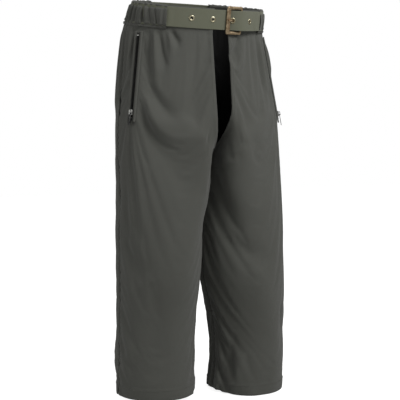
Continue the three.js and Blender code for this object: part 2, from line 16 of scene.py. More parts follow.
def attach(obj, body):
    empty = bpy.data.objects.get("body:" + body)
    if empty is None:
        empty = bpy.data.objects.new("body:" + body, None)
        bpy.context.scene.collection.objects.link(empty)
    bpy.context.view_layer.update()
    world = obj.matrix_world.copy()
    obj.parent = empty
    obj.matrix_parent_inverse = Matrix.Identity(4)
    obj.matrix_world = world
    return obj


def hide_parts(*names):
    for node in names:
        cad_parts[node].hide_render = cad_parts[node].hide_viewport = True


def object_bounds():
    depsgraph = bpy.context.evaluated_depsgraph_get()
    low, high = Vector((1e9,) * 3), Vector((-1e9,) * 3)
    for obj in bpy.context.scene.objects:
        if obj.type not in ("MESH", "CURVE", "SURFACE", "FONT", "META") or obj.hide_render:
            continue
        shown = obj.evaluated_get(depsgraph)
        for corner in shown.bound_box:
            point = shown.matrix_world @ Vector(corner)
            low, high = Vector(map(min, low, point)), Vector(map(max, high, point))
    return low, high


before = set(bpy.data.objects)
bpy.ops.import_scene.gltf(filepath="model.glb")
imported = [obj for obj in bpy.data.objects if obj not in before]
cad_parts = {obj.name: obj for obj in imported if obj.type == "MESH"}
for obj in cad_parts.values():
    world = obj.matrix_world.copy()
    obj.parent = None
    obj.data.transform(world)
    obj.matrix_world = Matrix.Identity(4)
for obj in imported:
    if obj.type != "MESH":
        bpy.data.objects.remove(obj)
cad_low, cad_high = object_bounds()
print("frame box", [round(x, 3) for x in (*cad_low, *cad_high)])

# %% [markdown]
# ## Camera, floor and light
# A product like this is shown upright, at about hip height and turned a quarter to one side.
# The camera could follow an empty by a constraint, but one turn towards a point keeps it exact.
# A pale floor with one big soft light in front and a weaker fill gives soft, even shading.

# %% Camera
CAMERA_TURN = math.radians(27.04)
CAMERA_AWAY = 2.127
CAMERA_HEIGHT = -0.239
AIM_HEIGHT = -0.395
SENSOR = 36.0
LENS = 88.6
SIDE_SHIFT = 0.012

camera_data = bpy.data.cameras.new("camera")
camera = bpy.data.objects.new("camera", camera_data)
bpy.context.scene.collection.objects.link(camera)
across = -CAMERA_AWAY * math.sin(CAMERA_TURN)
back = -CAMERA_AWAY * math.cos(CAMERA_TURN)
camera.location = (across, back, CAMERA_HEIGHT)
towards = Vector((0, 0, AIM_HEIGHT)) - camera.location
camera.rotation_euler = towards.to_track_quat("-Z", "Y").to_euler()
camera_data.sensor_width = SENSOR
camera_data.lens = LENS
camera_data.shift_x = SIDE_SHIFT
bpy.context.scene.camera = camera
print("camera at", [round(x, 3) for x in camera.location])

# %% Floor
FLOOR_DROP = 0.017        # room for the hem that hangs lowest
FLOOR_HALF = 6
FLOOR_COLOUR = (0.60, 0.60, 0.59)
FLOOR_GLOW = 0.9


def pale_material(name, colour, roughness):
    material = bpy.data.materials.new(name)
    material.use_nodes = True
    shader = material.node_tree.nodes["Principled BSDF"]
    shader.inputs["Base Color"].default_value = (*colour, 1)
    shader.inputs["Roughness"].default_value = roughness
    return material


def make_floor(height):
    mesh = bpy.data.meshes.new("floor")
    shape = bmesh.new()
    bmesh.ops.create_grid(shape, x_segments=1, y_segments=1, size=FLOOR_HALF)
    bmesh.ops.translate(shape, vec=(0, 0, height), verts=shape.verts)
    shape.to_mesh(mesh)
    shape.free()
    floor = bpy.data.objects.new("floor", mesh)
    floor.data.materials.append(pale_material("pale_floor", FLOOR_COLOUR, 0.9))
    bpy.context.scene.collection.objects.link(floor)
    return floor


def brighten_for_camera(material, glow):
    """The floor glows a little to the eye, as a lit backdrop does, but lights nothing more."""
    tree = material.node_tree
    rays = tree.nodes.new("ShaderNodeLightPath")
    amount = tree.nodes.new("ShaderNodeMapRange")
    amount.inputs["To Max"].default_value = glow
    tree.links.new(rays.outputs["Is Camera Ray"], amount.inputs["Value"])
    shader = tree.nodes["Principled BSDF"]
    shader.inputs["Emission Color"].default_value = (1, 1, 1, 1)
    tree.links.new(amount.outputs["Result"], shader.inputs["Emission Strength"])


floor = make_floor(cad_low.z - FLOOR_DROP)
brighten_for_camera(floor.data.materials[0], FLOOR_GLOW)
print("floor at", round(cad_low.z - FLOOR_DROP, 3))

# %% World and lamps
WORLD_SEEN = 1.0          # what the eye sees behind the object
WORLD_LIGHT = 0.34        # what falls on the object

# (name, place, aimed at, size, power)
LAMPS = (
    ("key", (0.48, -1.52, 1.16), (0, 0, -0.10), 1.0, 32.5),
    ("fill", (-2.4, 0.2, 0.5), (0, 0, -0.35), 1.4, 9),
)


def area_light(name, place, aim, size, power):
    data = bpy.data.lights.new(name, "AREA")
    data.shape = "DISK"
    data.size = size
    data.energy = power
    lamp = bpy.data.objects.new(name, data)
    lamp.location = place
    lamp.rotation_euler = (Vector(aim) - Vector(place)).to_track_quat("-Z", "Y").to_euler()
    bpy.context.scene.collection.objects.link(lamp)


def make_world():
    """White to the eye, but a weaker light on the object."""
    world = bpy.data.worlds.new("studio")
    world.use_nodes = True
    tree = world.node_tree
    sky = tree.nodes["Background"]
    sky.inputs["Color"].default_value = (1, 1, 1, 1)
    rays = tree.nodes.new("ShaderNodeLightPath")
    strength = tree.nodes.new("ShaderNodeMapRange")
    strength.inputs["To Min"].default_value = WORLD_LIGHT
    strength.inputs["To Max"].default_value = WORLD_SEEN
    tree.links.new(rays.outputs["Is Camera Ray"], strength.inputs["Value"])
    tree.links.new(strength.outputs["Result"], sky.inputs["Strength"])
    return world


bpy.context.scene.world = make_world()
bpy.context.scene.view_settings.view_transform = "Standard"
for lamp in LAMPS:
    area_light(*lamp)
print("lamps:", len(LAMPS))

# %% [markdown]
# ## The shape of a leg
# A leg is one surface: a tube below the crotch that opens into the hip ring and then the band.
# It could be sculpted, but a rule from two numbers, how far round and how high, lets every
# layer share it: shell, pad, lining and pocket only differ in depth. Below, `round_deg` is 0 at
# the inseam, 90 in front and 180 at the side seam; `height` is measured up from the hem.

# %% Dimensions
WAIST_HEIGHT = 0.795
WAIST_WIDE = 0.157
WAIST_DEEP = 0.111
WAIST_TILT = math.radians(10)
BACK_EDGE_ANGLE = 150
ELASTIC_PULL = 0.008      # the elastic draws the waist in at the sides
DRAWN_ANGLES = (40, 62)
DRAWN_HEIGHTS = (-0.029, -0.012)
BAND_LEAN = 0.014         # and tips the top of the band inwards behind
TIPPED_ANGLES = (72, 118)
TIPPED_FOOT = -0.026
TIPPED_TALL = 0.048
HIP_HEIGHT = 0.575
HIP_WIDE = 0.186
HIP_DEEP = 0.125
HIP_FORWARD = 0.009
LEG_FORWARD = 0.026
CROTCH_HEIGHT = 0.490
STATION_HEIGHT = (0, 0.120, 0.300, CROTCH_HEIGHT)
STATION_MIDDLE = (0.110, 0.110, 0.098, 0.095)
STATION_WIDE = (0.080, 0.080, 0.091, 0.085)
STATION_DEEP = (0.088, 0.088, 0.100, 0.100)
FRONT_CURVE_FEET = {"left": CROTCH_HEIGHT, "right": 0.450}
FRONT_CURVE_TOPS = {"left": 0.605, "right": 0.555}
BACK_CURVE_TOP = 0.680
SPREAD_START = 0.400
EDGE_REACH = 75
FULLNESS = 0.036          # cloth that stands out beside the crotch
FULLNESS_RISE = (0.340, 0.520)
FULLNESS_FALL = (0.535, 0.600)
BELT_TALL = 0.040
BAND_TOP = WAIST_HEIGHT + BELT_TALL / 2 + 0.002
BAND_FOOT = WAIST_HEIGHT - BELT_TALL / 2 - 0.010

# Where each front edge hangs, in degrees round the waist: at the hip, then at the band.
FRONT_EDGES = {"left": (5.3, 8.5), "right": (5.5, 4.9)}


print("waist ring", 2 * WAIST_WIDE, "by", 2 * WAIST_DEEP, "m")


# %% Waist ring
def ease(value, low, high):
    """Runs smoothly from 0 at low to 1 at high."""
    share = np.clip((value - low) / (high - low), 0, 1)
    return share * share * (3 - 2 * share)


def mix(a, b, share):
    return a + (b - a) * share


def waist_place(angle, up, out=0.0):
    """Points of the tilted waist ring; angle in degrees round from the front."""
    turn = np.radians(angle)
    sine, cosine = np.sin(turn), np.cos(turn)
    from_front = abs((angle + 180) % 360 - 180)
    drawn = ELASTIC_PULL * ease(from_front, *DRAWN_ANGLES) * ease(up, *DRAWN_HEIGHTS)
    tipped = BAND_LEAN * ease(from_front, *TIPPED_ANGLES) * np.clip((up - TIPPED_FOOT) / TIPPED_TALL, 0, 1)
    out = out - drawn - tipped
    steep = np.hypot(WAIST_DEEP * sine, WAIST_WIDE * cosine)
    x = WAIST_WIDE * sine + out * WAIST_DEEP * sine / steep
    y = -WAIST_DEEP * cosine - out * WAIST_WIDE * cosine / steep
    z = np.zeros_like(x) + up
    tip, lift = math.cos(WAIST_TILT), math.sin(WAIST_TILT)
    return np.stack([x, tip * y - lift * z, lift * y + tip * z], -1)


print("waist ring at the side", waist_place(90, 0.0).round(3))


# %% Leg surface
def ring_angle(side, round_deg, height):
    """Where a line up the leg meets the waist ring, in degrees from the front."""
    edge = mix(*FRONT_EDGES[side], np.clip((height - HIP_HEIGHT) / (BAND_FOOT - HIP_HEIGHT), 0, 1))
    front = mix(edge, 90, round_deg / 180)
    back = mix(90, BACK_EDGE_ANGLE, (round_deg - 180) / 180)
    return np.where(round_deg <= 180, front, back)


def stepped(height, values):
    """Runs smoothly from one leg station to the next."""
    result = np.full_like(height, values[0])
    pairs = zip(STATION_HEIGHT, STATION_HEIGHT[1:], values, values[1:])
    for low, high, before, after in pairs:
        result = np.where(height > low, mix(before, after, ease(height, low, high)), result)
    return result


def openness(side, round_deg, height):
    """0 where the leg is a closed tube, 1 where it lies open on the hip ring."""
    is_front = round_deg <= 180
    from_edge = np.where(is_front, round_deg, 360 - round_deg)
    curve_top = np.where(is_front, FRONT_CURVE_TOPS[side], BACK_CURVE_TOP)
    curve_foot = np.where(is_front, FRONT_CURVE_FEET[side], CROTCH_HEIGHT)
    climb = np.clip((height - curve_foot) / (curve_top - curve_foot), 0, 1)
    edge = np.sin(climb * np.pi / 2)
    body = ease(height, SPREAD_START, HIP_HEIGHT)
    return mix(edge, body, ease(from_edge, 0, EDGE_REACH))


def leg_place(side, round_deg, height):
    """The outer face of a leg, laid out on the wearer's left."""
    round_deg, height = np.broadcast_arrays(np.asarray(round_deg, float), np.asarray(height, float))
    angle = ring_angle(side, round_deg, height)
    band_low = waist_place(angle, BAND_FOOT - WAIST_HEIGHT)
    band_high = waist_place(angle, BAND_TOP - WAIST_HEIGHT)
    band = mix(band_low, band_high, np.clip((height - BAND_FOOT) / (BAND_TOP - BAND_FOOT), 0, 1)[..., None])
    turn = np.radians(angle)
    level = np.minimum(height, HIP_HEIGHT) - WAIST_HEIGHT
    ring = np.stack([HIP_WIDE * np.sin(turn), -HIP_FORWARD - HIP_DEEP * np.cos(turn), level], -1)
    rise = np.clip((height - HIP_HEIGHT) / (BAND_FOOT - HIP_HEIGHT), 0, 1)
    ring = mix(ring, band_low, rise[..., None])
    way = np.radians(round_deg)
    tube_x = stepped(height, STATION_MIDDLE) - stepped(height, STATION_WIDE) * np.cos(way)
    tube_y = -LEG_FORWARD - stepped(height, STATION_DEEP) * np.sin(way)
    tube = np.stack([tube_x, tube_y, ring[..., 2]], -1)
    leg = mix(tube, ring, openness(side, round_deg, height)[..., None])
    share = np.where(round_deg < 90, np.sin(2 * way) ** 2, 0)
    swell = ease(height, *FULLNESS_RISE) * (1 - ease(height, *FULLNESS_FALL))
    leg[..., :2] -= (FULLNESS * share * swell * math.sqrt(0.5))[..., None]
    return np.where((height >= BAND_FOOT)[..., None], band, leg)


print("leg at the hem, in front", leg_place("left", 90, 0).round(3))

# %% [markdown]
# ## Folds in the legs
# Canvas that hangs from a gathered band breaks into folds: short ones fan out under the
# gathers and the zip, and long soft ones run down the leg. They could come from a simulation
# alone, but that can't say where each fold falls. Here each large fold is a ridge or a valley
# along a line from (round, height) to (round, height), and the simulation adds the small ones.

# %% Fold lines
DEGREE_LENGTH = 0.00155   # metres of cloth in one degree round the leg

# (from round, from height, to round, to height, half-width, rise)
RIGHT_FOLDS = (
    (70, 0.768, 58, 0.745, 0.007, -0.0045), (76, 0.766, 66, 0.735, 0.008, 0.003),
    (92, 0.762, 79, 0.700, 0.009, -0.0045), (101, 0.765, 92, 0.690, 0.011, 0.004),
    (111, 0.760, 108, 0.640, 0.012, -0.004), (104, 0.655, 70, 0.590, 0.013, -0.0055),
    (108, 0.625, 82, 0.560, 0.016, 0.004), (118, 0.748, 126, 0.700, 0.006, -0.0035),
    (150, 0.765, 142, 0.700, 0.008, -0.004), (160, 0.760, 152, 0.660, 0.009, 0.004),
    (120, 0.600, 96, 0.520, 0.016, -0.004), (150, 0.570, 132, 0.480, 0.014, 0.0035),
    (28, 0.740, 34, 0.560, 0.020, -0.004), (12, 0.700, 8, 0.520, 0.012, 0.0025),
    (168, 0.330, 140, 0.270, 0.013, -0.004), (172, 0.400, 150, 0.350, 0.012, -0.003),
    (60, 0.420, 92, 0.250, 0.028, 0.003), (124, 0.250, 112, 0.080, 0.024, -0.0035),
    (48, 0.120, 30, 0.040, 0.016, -0.0035), (150, 0.120, 170, 0.050, 0.014, 0.003),
    (200, 0.760, 206, 0.640, 0.013, -0.005), (225, 0.755, 238, 0.620, 0.016, 0.005),
    (262, 0.740, 276, 0.560, 0.020, -0.006), (300, 0.560, 250, 0.420, 0.022, 0.005),
    (220, 0.330, 262, 0.230, 0.018, -0.005), (236, 0.140, 210, 0.060, 0.018, 0.004),
)
LEFT_FOLDS = (
    (24, 0.762, 8, 0.715, 0.007, -0.0045), (40, 0.764, 14, 0.690, 0.010, 0.004),
    (56, 0.760, 50, 0.700, 0.010, -0.003), (72, 0.765, 82, 0.660, 0.009, -0.004),
    (82, 0.760, 93, 0.650, 0.008, 0.004), (104, 0.762, 112, 0.640, 0.011, -0.004),
    (70, 0.620, 40, 0.560, 0.018, -0.003), (150, 0.760, 144, 0.690, 0.009, 0.004),
    (96, 0.600, 112, 0.500, 0.016, 0.003), (20, 0.470, 48, 0.360, 0.016, -0.004),
    (36, 0.330, 84, 0.290, 0.018, -0.0035), (76, 0.300, 96, 0.160, 0.024, 0.003),
    (44, 0.130, 28, 0.050, 0.014, -0.005), (58, 0.090, 40, 0.030, 0.012, 0.004),
    (128, 0.190, 140, 0.120, 0.013, -0.004), (110, 0.070, 86, 0.020, 0.014, -0.003),
    (205, 0.755, 214, 0.650, 0.013, 0.005), (240, 0.750, 232, 0.610, 0.016, -0.005),
    (270, 0.730, 290, 0.570, 0.020, 0.006), (290, 0.520, 240, 0.400, 0.022, -0.005),
    (216, 0.300, 258, 0.210, 0.018, 0.005), (250, 0.120, 222, 0.050, 0.018, -0.004),
)


def fold_rise(folds, round_deg, height):
    """How far the folds lift the cloth, in metres."""
    along = round_deg * DEGREE_LENGTH
    total = np.zeros_like(height)
    for from_round, from_height, to_round, to_height, half, rise in folds:
        start = np.array((from_round * DEGREE_LENGTH, from_height))
        run = np.array((to_round * DEGREE_LENGTH, to_height)) - start
        share = ((along - start[0]) * run[0] + (height - start[1]) * run[1]) / (run @ run)
        held = np.clip(share, 0, 1)
        away = np.hypot(along - start[0] - held * run[0], height - start[1] - held * run[1])
        spread = half * (0.6 + 0.9 * held)
        total += rise * np.exp(-(away / spread) ** 2) * np.sin(np.pi * (0.25 + 0.75 * (1 - held))) ** 0.5
    return total


print(len(RIGHT_FOLDS), "folds on the right leg,", len(LEFT_FOLDS), "on the left")

# %% [markdown]
# ## Draping a leg
# Blender's cloth could be left to hang free, but then the leg would lose its shape, because
# nobody is wearing it. So the cloth starts on the folded surface, a little too big for it, and
# soft pins hold it near there, firm at the band and the seams. The result is kept as a table of
# points, and every layer of the leg is laid at its own depth under it.

# %% Grids and tables of points
CLOTH_COLUMNS = 109
CLOTH_ROWS = 151

ROUND_TABLE, HEIGHT_TABLE = np.meshgrid(
    np.linspace(0, 360, CLOTH_COLUMNS), np.linspace(0, BAND_TOP, CLOTH_ROWS))


def normals_of(points):
    """Unit normals of a table of points, columns by rows."""
    across = np.gradient(points, axis=1)
    upward = np.gradient(points, axis=0)
    out = np.cross(across, upward)
    return out / np.linalg.norm(out, axis=-1, keepdims=True)


def grid_object(name, columns, rows, place):
    """A grid whose corners run from (0, 0) to (1, 1), laid out by place(across, up)."""
    mesh = bpy.data.meshes.new(name)
    shape = bmesh.new()
    bmesh.ops.create_grid(shape, x_segments=columns - 1, y_segments=rows - 1, size=0.5)
    shape.to_mesh(mesh)
    shape.free()
    flat = np.empty(len(mesh.vertices) * 3, np.float32)
    mesh.vertices.foreach_get("co", flat)
    share = flat.reshape(-1, 3)[:, :2].astype(float) + 0.5
    placed = place(share[:, 0], share[:, 1])
    mesh.vertices.foreach_set("co", placed.astype(np.float32).ravel())
    mesh.update()
    piece = bpy.data.objects.new(name, mesh)
    bpy.context.scene.collection.objects.link(piece)
    return piece, share


def points_at(table, across, up):
    """Reads a table of points between its rows and columns."""
    rows, columns = table.shape[:2]
    x = np.clip(across, 0, 1) * (columns - 1)
    y = np.clip(up, 0, 1) * (rows - 1)
    column = np.minimum(x.astype(int), columns - 2)
    row = np.minimum(y.astype(int), rows - 2)
    dx, dy = (x - column)[..., None], (y - row)[..., None]
    low = mix(table[row, column], table[row, column + 1], dx)
    high = mix(table[row + 1, column], table[row + 1, column + 1], dx)
    return mix(low, high, dy)


print("the cloth table is", ROUND_TABLE.shape)

# %% Where the cloth starts
FOLD_STRENGTH = 1.6
ZIP_ROUND = 133.0
ZIP_TOP = 0.748
ZIP_FOOT = 0.570
ZIP_FADE = 0.02
ZIP_BESIDE = (7, 14)      # degrees from the zip over which the cloth comes free
HEM_SHIFT = {"left": -0.010, "right": 0.005}
HEM_SHIFT_TOP = 0.40

# How far the cloth is let out or taken in at the side seam and at the inseam, up each leg.
SIDE_HEIGHTS = (0.0, 0.10, 0.20, 0.30, 0.42, 0.50, 0.58, 0.66, 0.74, 0.78)
SIDE_TRIM = {
    "left": (0.003, 0.006, 0.006, 0.001, 0, 0, 0.003, 0.007, 0.007, 0),
    "right": (0, 0, -0.001, 0, 0.004, 0.004, -0.002, -0.001, 0.002, 0),
}
INNER_HEIGHTS = (0.0, 0.06, 0.14, 0.24, 0.34, 0.42)
INNER_TRIM = {
    "left": (0, -0.005, -0.002, 0.006, 0.002, 0),
    "right": (0.001, 0.005, 0.003, 0, 0, 0),
}


def inside(value, limits, fade):
    """1 between the limits, fading to 0 outside them."""
    return ease(value, limits[0] - fade, limits[0]) * (1 - ease(value, limits[1], limits[1] + fade))


def near_zip(round_deg, height):
    """The cloth lies flat beside the zip, which holds it."""
    beside = 1 - ease(abs(round_deg - ZIP_ROUND), *ZIP_BESIDE)
    return beside * inside(height, (ZIP_FOOT, ZIP_TOP), ZIP_FADE)


def from_inseam(round_deg):
    return np.minimum(round_deg, 360 - round_deg)


def side_share(round_deg):
    """How much of the outer side's fullness a place takes."""
    return ease(round_deg, 120, 170) * (1 - ease(round_deg, 230, 290))


def inner_share(round_deg):
    """The same beside the inseam."""
    return 1 - ease(from_inseam(round_deg), 30, 80)


def folded_leg(side, folds):
    """The leg surface with its folds, its trims and its own length."""
    start = leg_place(side, ROUND_TABLE, HEIGHT_TABLE)
    rise = FOLD_STRENGTH * fold_rise(folds, ROUND_TABLE, HEIGHT_TABLE)
    rise = rise + np.interp(HEIGHT_TABLE, SIDE_HEIGHTS, SIDE_TRIM[side]) * side_share(ROUND_TABLE)
    rise = rise + np.interp(HEIGHT_TABLE, INNER_HEIGHTS, INNER_TRIM[side]) * inner_share(ROUND_TABLE)
    rise = rise * (1 - near_zip(ROUND_TABLE, HEIGHT_TABLE))
    start = start + normals_of(start) * rise[..., None]
    start[..., 2] += HEM_SHIFT[side] * (1 - ease(HEIGHT_TABLE, 0, HEM_SHIFT_TOP))
    return start


print("the zip holds the cloth from", ZIP_FOOT, "to", ZIP_TOP, "m up the leg")

# %% Simulate both legs
CLOTH_FRAMES = 14
CLOTH_GROWTH = 0.022
MOST_DRIFT = 0.006
BODY_PIN = 0.16
INSEAM_PIN = 0.85
SIDE_SEAM_PIN = 0.4
INSEAM_REACH = 4          # degrees that a seam's stiffness reaches
SIDE_SEAM_REACH = 2
CLOTH_SETTINGS = {
    "quality": 4,
    "mass": 0.25,
    "tension_stiffness": 12,
    "compression_stiffness": 12,
    "shear_stiffness": 4,
    "bending_stiffness": 0.4,
    "vertex_group_mass": "pins",
    "pin_stiffness": 1.0,
    "shrink_min": -CLOTH_GROWTH,
}


def pin_weights(round_deg, height):
    """Loose over the body of the leg, firmer at the seams and the zip, fixed at the band."""
    pins = np.full(len(height), BODY_PIN)
    pins = np.where(from_inseam(round_deg) < INSEAM_REACH, INSEAM_PIN, pins)
    pins = np.where(abs(round_deg - 180) < SIDE_SEAM_REACH, SIDE_SEAM_PIN, pins)
    pins = np.where(height > BAND_FOOT, 1.0, pins)
    return np.maximum(pins, near_zip(round_deg, height))


def simulated(start):
    """Where the cloth settles, as a table like the one it starts from."""
    cloth, share = grid_object("drape", CLOTH_COLUMNS, CLOTH_ROWS, lambda a, u: points_at(start, a, u))
    group = cloth.vertex_groups.new(name="pins")
    for index, weight in enumerate(pin_weights(share[:, 0] * 360, share[:, 1] * BAND_TOP)):
        group.add([index], float(weight), "REPLACE")
    modifier = cloth.modifiers.new("cloth", "CLOTH")
    for label, value in CLOTH_SETTINGS.items():
        setattr(modifier.settings, label, value)
    modifier.collision_settings.use_collision = False
    modifier.point_cache.frame_end = CLOTH_FRAMES
    for step in range(1, CLOTH_FRAMES + 1):
        bpy.context.scene.frame_set(step)
    worn = cloth.evaluated_get(bpy.context.evaluated_depsgraph_get())
    moved = np.empty(len(share) * 3, np.float32)
    worn.data.vertices.foreach_get("co", moved)
    bpy.data.objects.remove(cloth)
    bpy.context.scene.frame_set(1)
    column = np.rint(share[:, 0] * (CLOTH_COLUMNS - 1)).astype(int)
    row = np.rint(share[:, 1] * (CLOTH_ROWS - 1)).astype(int)
    result = np.empty_like(start)
    result[row, column] = moved.reshape(-1, 3)
    return result


def drape_leg(side, folds):
    start = folded_leg(side, folds)
    drift = simulated(start) - start
    far = np.linalg.norm(drift, axis=-1, keepdims=True)
    print("cloth moved at most", round(float(far.max()) * 1000, 1), "mm")
    return start + drift * np.minimum(1, MOST_DRIFT / np.maximum(far, 1e-9))


SIDES = {"left": 1, "right": -1}
leg_cloth = {"left": drape_leg("left", LEFT_FOLDS), "right": drape_leg("right", RIGHT_FOLDS)}
leg_normals = {side: normals_of(table) for side, table in leg_cloth.items()}


def on_leg(side, round_deg, height, depth=0.0):
    """Points `depth` inside the draped leg, on its own side of the body."""
    across = np.asarray(round_deg, float) / 360
    up = np.asarray(height, float) / BAND_TOP
    across, up = np.broadcast_arrays(across, up)
    depth = np.broadcast_to(depth, across.shape)[..., None]
    place = points_at(leg_cloth[side], across, up)
    out = points_at(leg_normals[side], across, up)
    out = out / np.linalg.norm(out, axis=-1, keepdims=True)
    return (place - out * depth) * (SIDES[side], 1, 1)


print("draped both legs:", leg_cloth["left"].shape)

# %% [markdown]
# ## Finishes that repeat
# Canvas, webbing, elastic and lining are all woven, and all of them fade unevenly. Each of the
# two effects could be drawn again in every material, but a node group is built once and placed
# with its own values. Only colours and heights leave a group: the shader stays outside.

# %% Node helpers
def new_group(name, inputs, outputs):
    group = bpy.data.node_groups.new(name, "ShaderNodeTree")
    for label, kind, default in inputs:
        socket = group.interface.new_socket(label, in_out="INPUT", socket_type=kind)
        if default is not None:
            socket.default_value = default
    for label, kind in outputs:
        group.interface.new_socket(label, in_out="OUTPUT", socket_type=kind)
    return group, group.nodes.new("NodeGroupInput"), group.nodes.new("NodeGroupOutput")


def math_node(tree, operation, first, second=None):
    """A math node fed by sockets or plain numbers; returns its result socket."""
    node = tree.nodes.new("ShaderNodeMath")
    node.operation = operation
    for socket, value in zip(node.inputs, (first, second)):
        if value is None:
            continue
        if isinstance(value, (int, float)):
            socket.default_value = value
        else:
            tree.links.new(value, socket)
    return node.outputs["Value"]


def colour_mix(tree, share, first, second):
    """Mixes two colours, each a socket or a plain colour, by a share socket or number."""
    node = tree.nodes.new("ShaderNodeMix")
    node.data_type = "RGBA"
    for label, value in (("Factor", share), ("A", first), ("B", second)):
        socket = next(s for s in node.inputs if s.name == label and s.enabled)
        if hasattr(value, "is_linked"):
            tree.links.new(value, socket)
        elif isinstance(value, (int, float)):
            socket.default_value = value
        else:
            socket.default_value = (*value, 1)
    return next(s for s in node.outputs if s.enabled)


def noise_node(tree, place, scale, detail=4, roughness=0.6):
    node = tree.nodes.new("ShaderNodeTexNoise")
    node.inputs["Scale"].default_value = scale
    node.inputs["Detail"].default_value = detail
    node.inputs["Roughness"].default_value = roughness
    tree.links.new(place, node.inputs["Vector"])
    return node.outputs["Fac"]


# %% Weave group
def make_weave_group():
    """Threads crossing at right angles, with a diagonal rib for twill."""
    group, entry, leave = new_group(
        "crossed_weave",
        [("Place", "NodeSocketVector", None), ("Across", "NodeSocketFloat", 1800.0),
         ("Along", "NodeSocketFloat", 1800.0), ("Rib", "NodeSocketFloat", 0.5)],
        [("Height", "NodeSocketFloat"), ("Shade", "NodeSocketFloat")])
    split = group.nodes.new("ShaderNodeSeparateXYZ")
    group.links.new(entry.outputs["Place"], split.inputs[0])
    u = math_node(group, "MULTIPLY", split.outputs["X"], entry.outputs["Across"])
    v = math_node(group, "MULTIPLY", split.outputs["Y"], entry.outputs["Along"])
    warp = math_node(group, "ABSOLUTE", math_node(group, "SINE", u))
    weft = math_node(group, "ABSOLUTE", math_node(group, "SINE", v))
    diagonal = math_node(group, "SINE", math_node(group, "ADD", u, v))
    cross = math_node(group, "MULTIPLY", warp, weft)
    rib = math_node(group, "MULTIPLY", diagonal, entry.outputs["Rib"])
    height = math_node(group, "ADD", cross, rib)
    fibre = noise_node(group, entry.outputs["Place"], 900.0, 3)
    # The colour share follows the weave's height: painted shade in the dips between threads, with fibre
    # noise for random tone.
    shade = math_node(group, "MULTIPLY", height, fibre)
    group.links.new(height, leave.inputs["Height"])
    group.links.new(shade, leave.inputs["Shade"])
    return group


# %% Fading group
def make_fade_group():
    """Broad cloudy patches where cloth has faded, with finer mottling on top."""
    group, entry, leave = new_group(
        "uneven_fading",
        [("Place", "NodeSocketVector", None), ("Patch", "NodeSocketFloat", 4.0)],
        [("Mask", "NodeSocketFloat")])
    broad = group.nodes.new("ShaderNodeTexNoise")
    broad.inputs["Detail"].default_value = 3
    group.links.new(entry.outputs["Place"], broad.inputs["Vector"])
    group.links.new(entry.outputs["Patch"], broad.inputs["Scale"])
    fine = noise_node(group, entry.outputs["Place"], 70.0, 4)
    both = math_node(group, "ADD", math_node(group, "MULTIPLY", broad.outputs["Fac"], 0.75),
                     math_node(group, "MULTIPLY", fine, 0.25))
    ramp = group.nodes.new("ShaderNodeMapRange")
    ramp.inputs["From Min"].default_value = 0.3
    ramp.inputs["From Max"].default_value = 0.7
    group.links.new(both, ramp.inputs["Value"])
    group.links.new(ramp.outputs["Result"], leave.inputs["Mask"])
    return group


weave_group = make_weave_group()
fade_group = make_fade_group()
print("groups:", weave_group.name, fade_group.name)

# %% [markdown]
# ## Woven finishes
# One maker serves every woven finish, because they differ only in colour, thread count, rib,
# sheen and how far they have faded. Sheen gives cloth the soft light edge that plain
# roughness can't.

# %% Cloth materials
def use_group(tree, group, **values):
    node = tree.nodes.new("ShaderNodeGroup")
    node.node_tree = group
    for label, value in values.items():
        node.inputs[label].default_value = value
    return node


def cloth_material(name, dark, light, faded, across, along, rib, bump, sheen,
                   roughness=0.9, patch=4.0, coordinate="UV"):
    """Colour runs from `dark` in the dips between threads to `light` on their crests, which is painted
    shade in the dips with random fibre tone on top; `across` and `along` set how fine the threads are.
    """
    material = bpy.data.materials.new(name)
    material.use_nodes = True
    tree = material.node_tree
    shader = tree.nodes["Principled BSDF"]
    where = tree.nodes.new("ShaderNodeTexCoord")
    weave = use_group(tree, weave_group, Across=across, Along=along, Rib=rib)
    fade = use_group(tree, fade_group, Patch=patch)
    tree.links.new(where.outputs[coordinate], weave.inputs["Place"])
    tree.links.new(where.outputs["Object"], fade.inputs["Place"])
    # Painted shade: the dips between threads take the dark colour, the crests the light one.
    woven = colour_mix(tree, weave.outputs["Shade"], dark, light)
    worn = math_node(tree, "MULTIPLY", fade.outputs["Mask"], 0.6)
    tree.links.new(colour_mix(tree, worn, woven, faded), shader.inputs["Base Color"])
    shader.inputs["Roughness"].default_value = roughness
    shader.inputs["Sheen Weight"].default_value = sheen
    shader.inputs["Sheen Roughness"].default_value = 0.5
    shader.inputs["Specular IOR Level"].default_value = 0.25
    ripple = tree.nodes.new("ShaderNodeBump")
    ripple.inputs["Strength"].default_value = bump
    ripple.inputs["Distance"].default_value = 0.0003
    tree.links.new(weave.outputs["Height"], ripple.inputs["Height"])
    tree.links.new(ripple.outputs["Normal"], shader.inputs["Normal"])
    return material


canvas = cloth_material(
    "canvas", dark=(0.070, 0.071, 0.062), light=(0.104, 0.106, 0.094), faded=(0.094, 0.096, 0.086),
    across=5200, along=5200, rib=0.5, bump=0.35, sheen=0.12)
webbing = cloth_material(
    "webbing", dark=(0.112, 0.118, 0.080), light=(0.180, 0.187, 0.133), faded=(0.150, 0.152, 0.115),
    across=2400, along=1500, rib=0.2, bump=0.6, sheen=0.15, roughness=0.8, patch=9.0)
lining_cloth = cloth_material(
    "lining_cloth", dark=(0.0012, 0.0012, 0.0011), light=(0.0030, 0.0030, 0.0028),
    faded=(0.0022, 0.0022, 0.0020), across=9000, along=9000, rib=0.3, bump=0.15, sheen=0.0, roughness=0.75)
elastic_web = cloth_material(
    "elastic_web", dark=(0.010, 0.010, 0.010), light=(0.022, 0.022, 0.021), faded=(0.018, 0.018, 0.017),
    across=1900, along=5200, rib=0.0, bump=0.8, sheen=0.1)
zip_tape = cloth_material(
    "zip_tape", dark=(0.006, 0.006, 0.0055), light=(0.013, 0.013, 0.012), faded=(0.010, 0.010, 0.009),
    across=6200, along=4200, rib=0.4, bump=0.5, sheen=0.05)
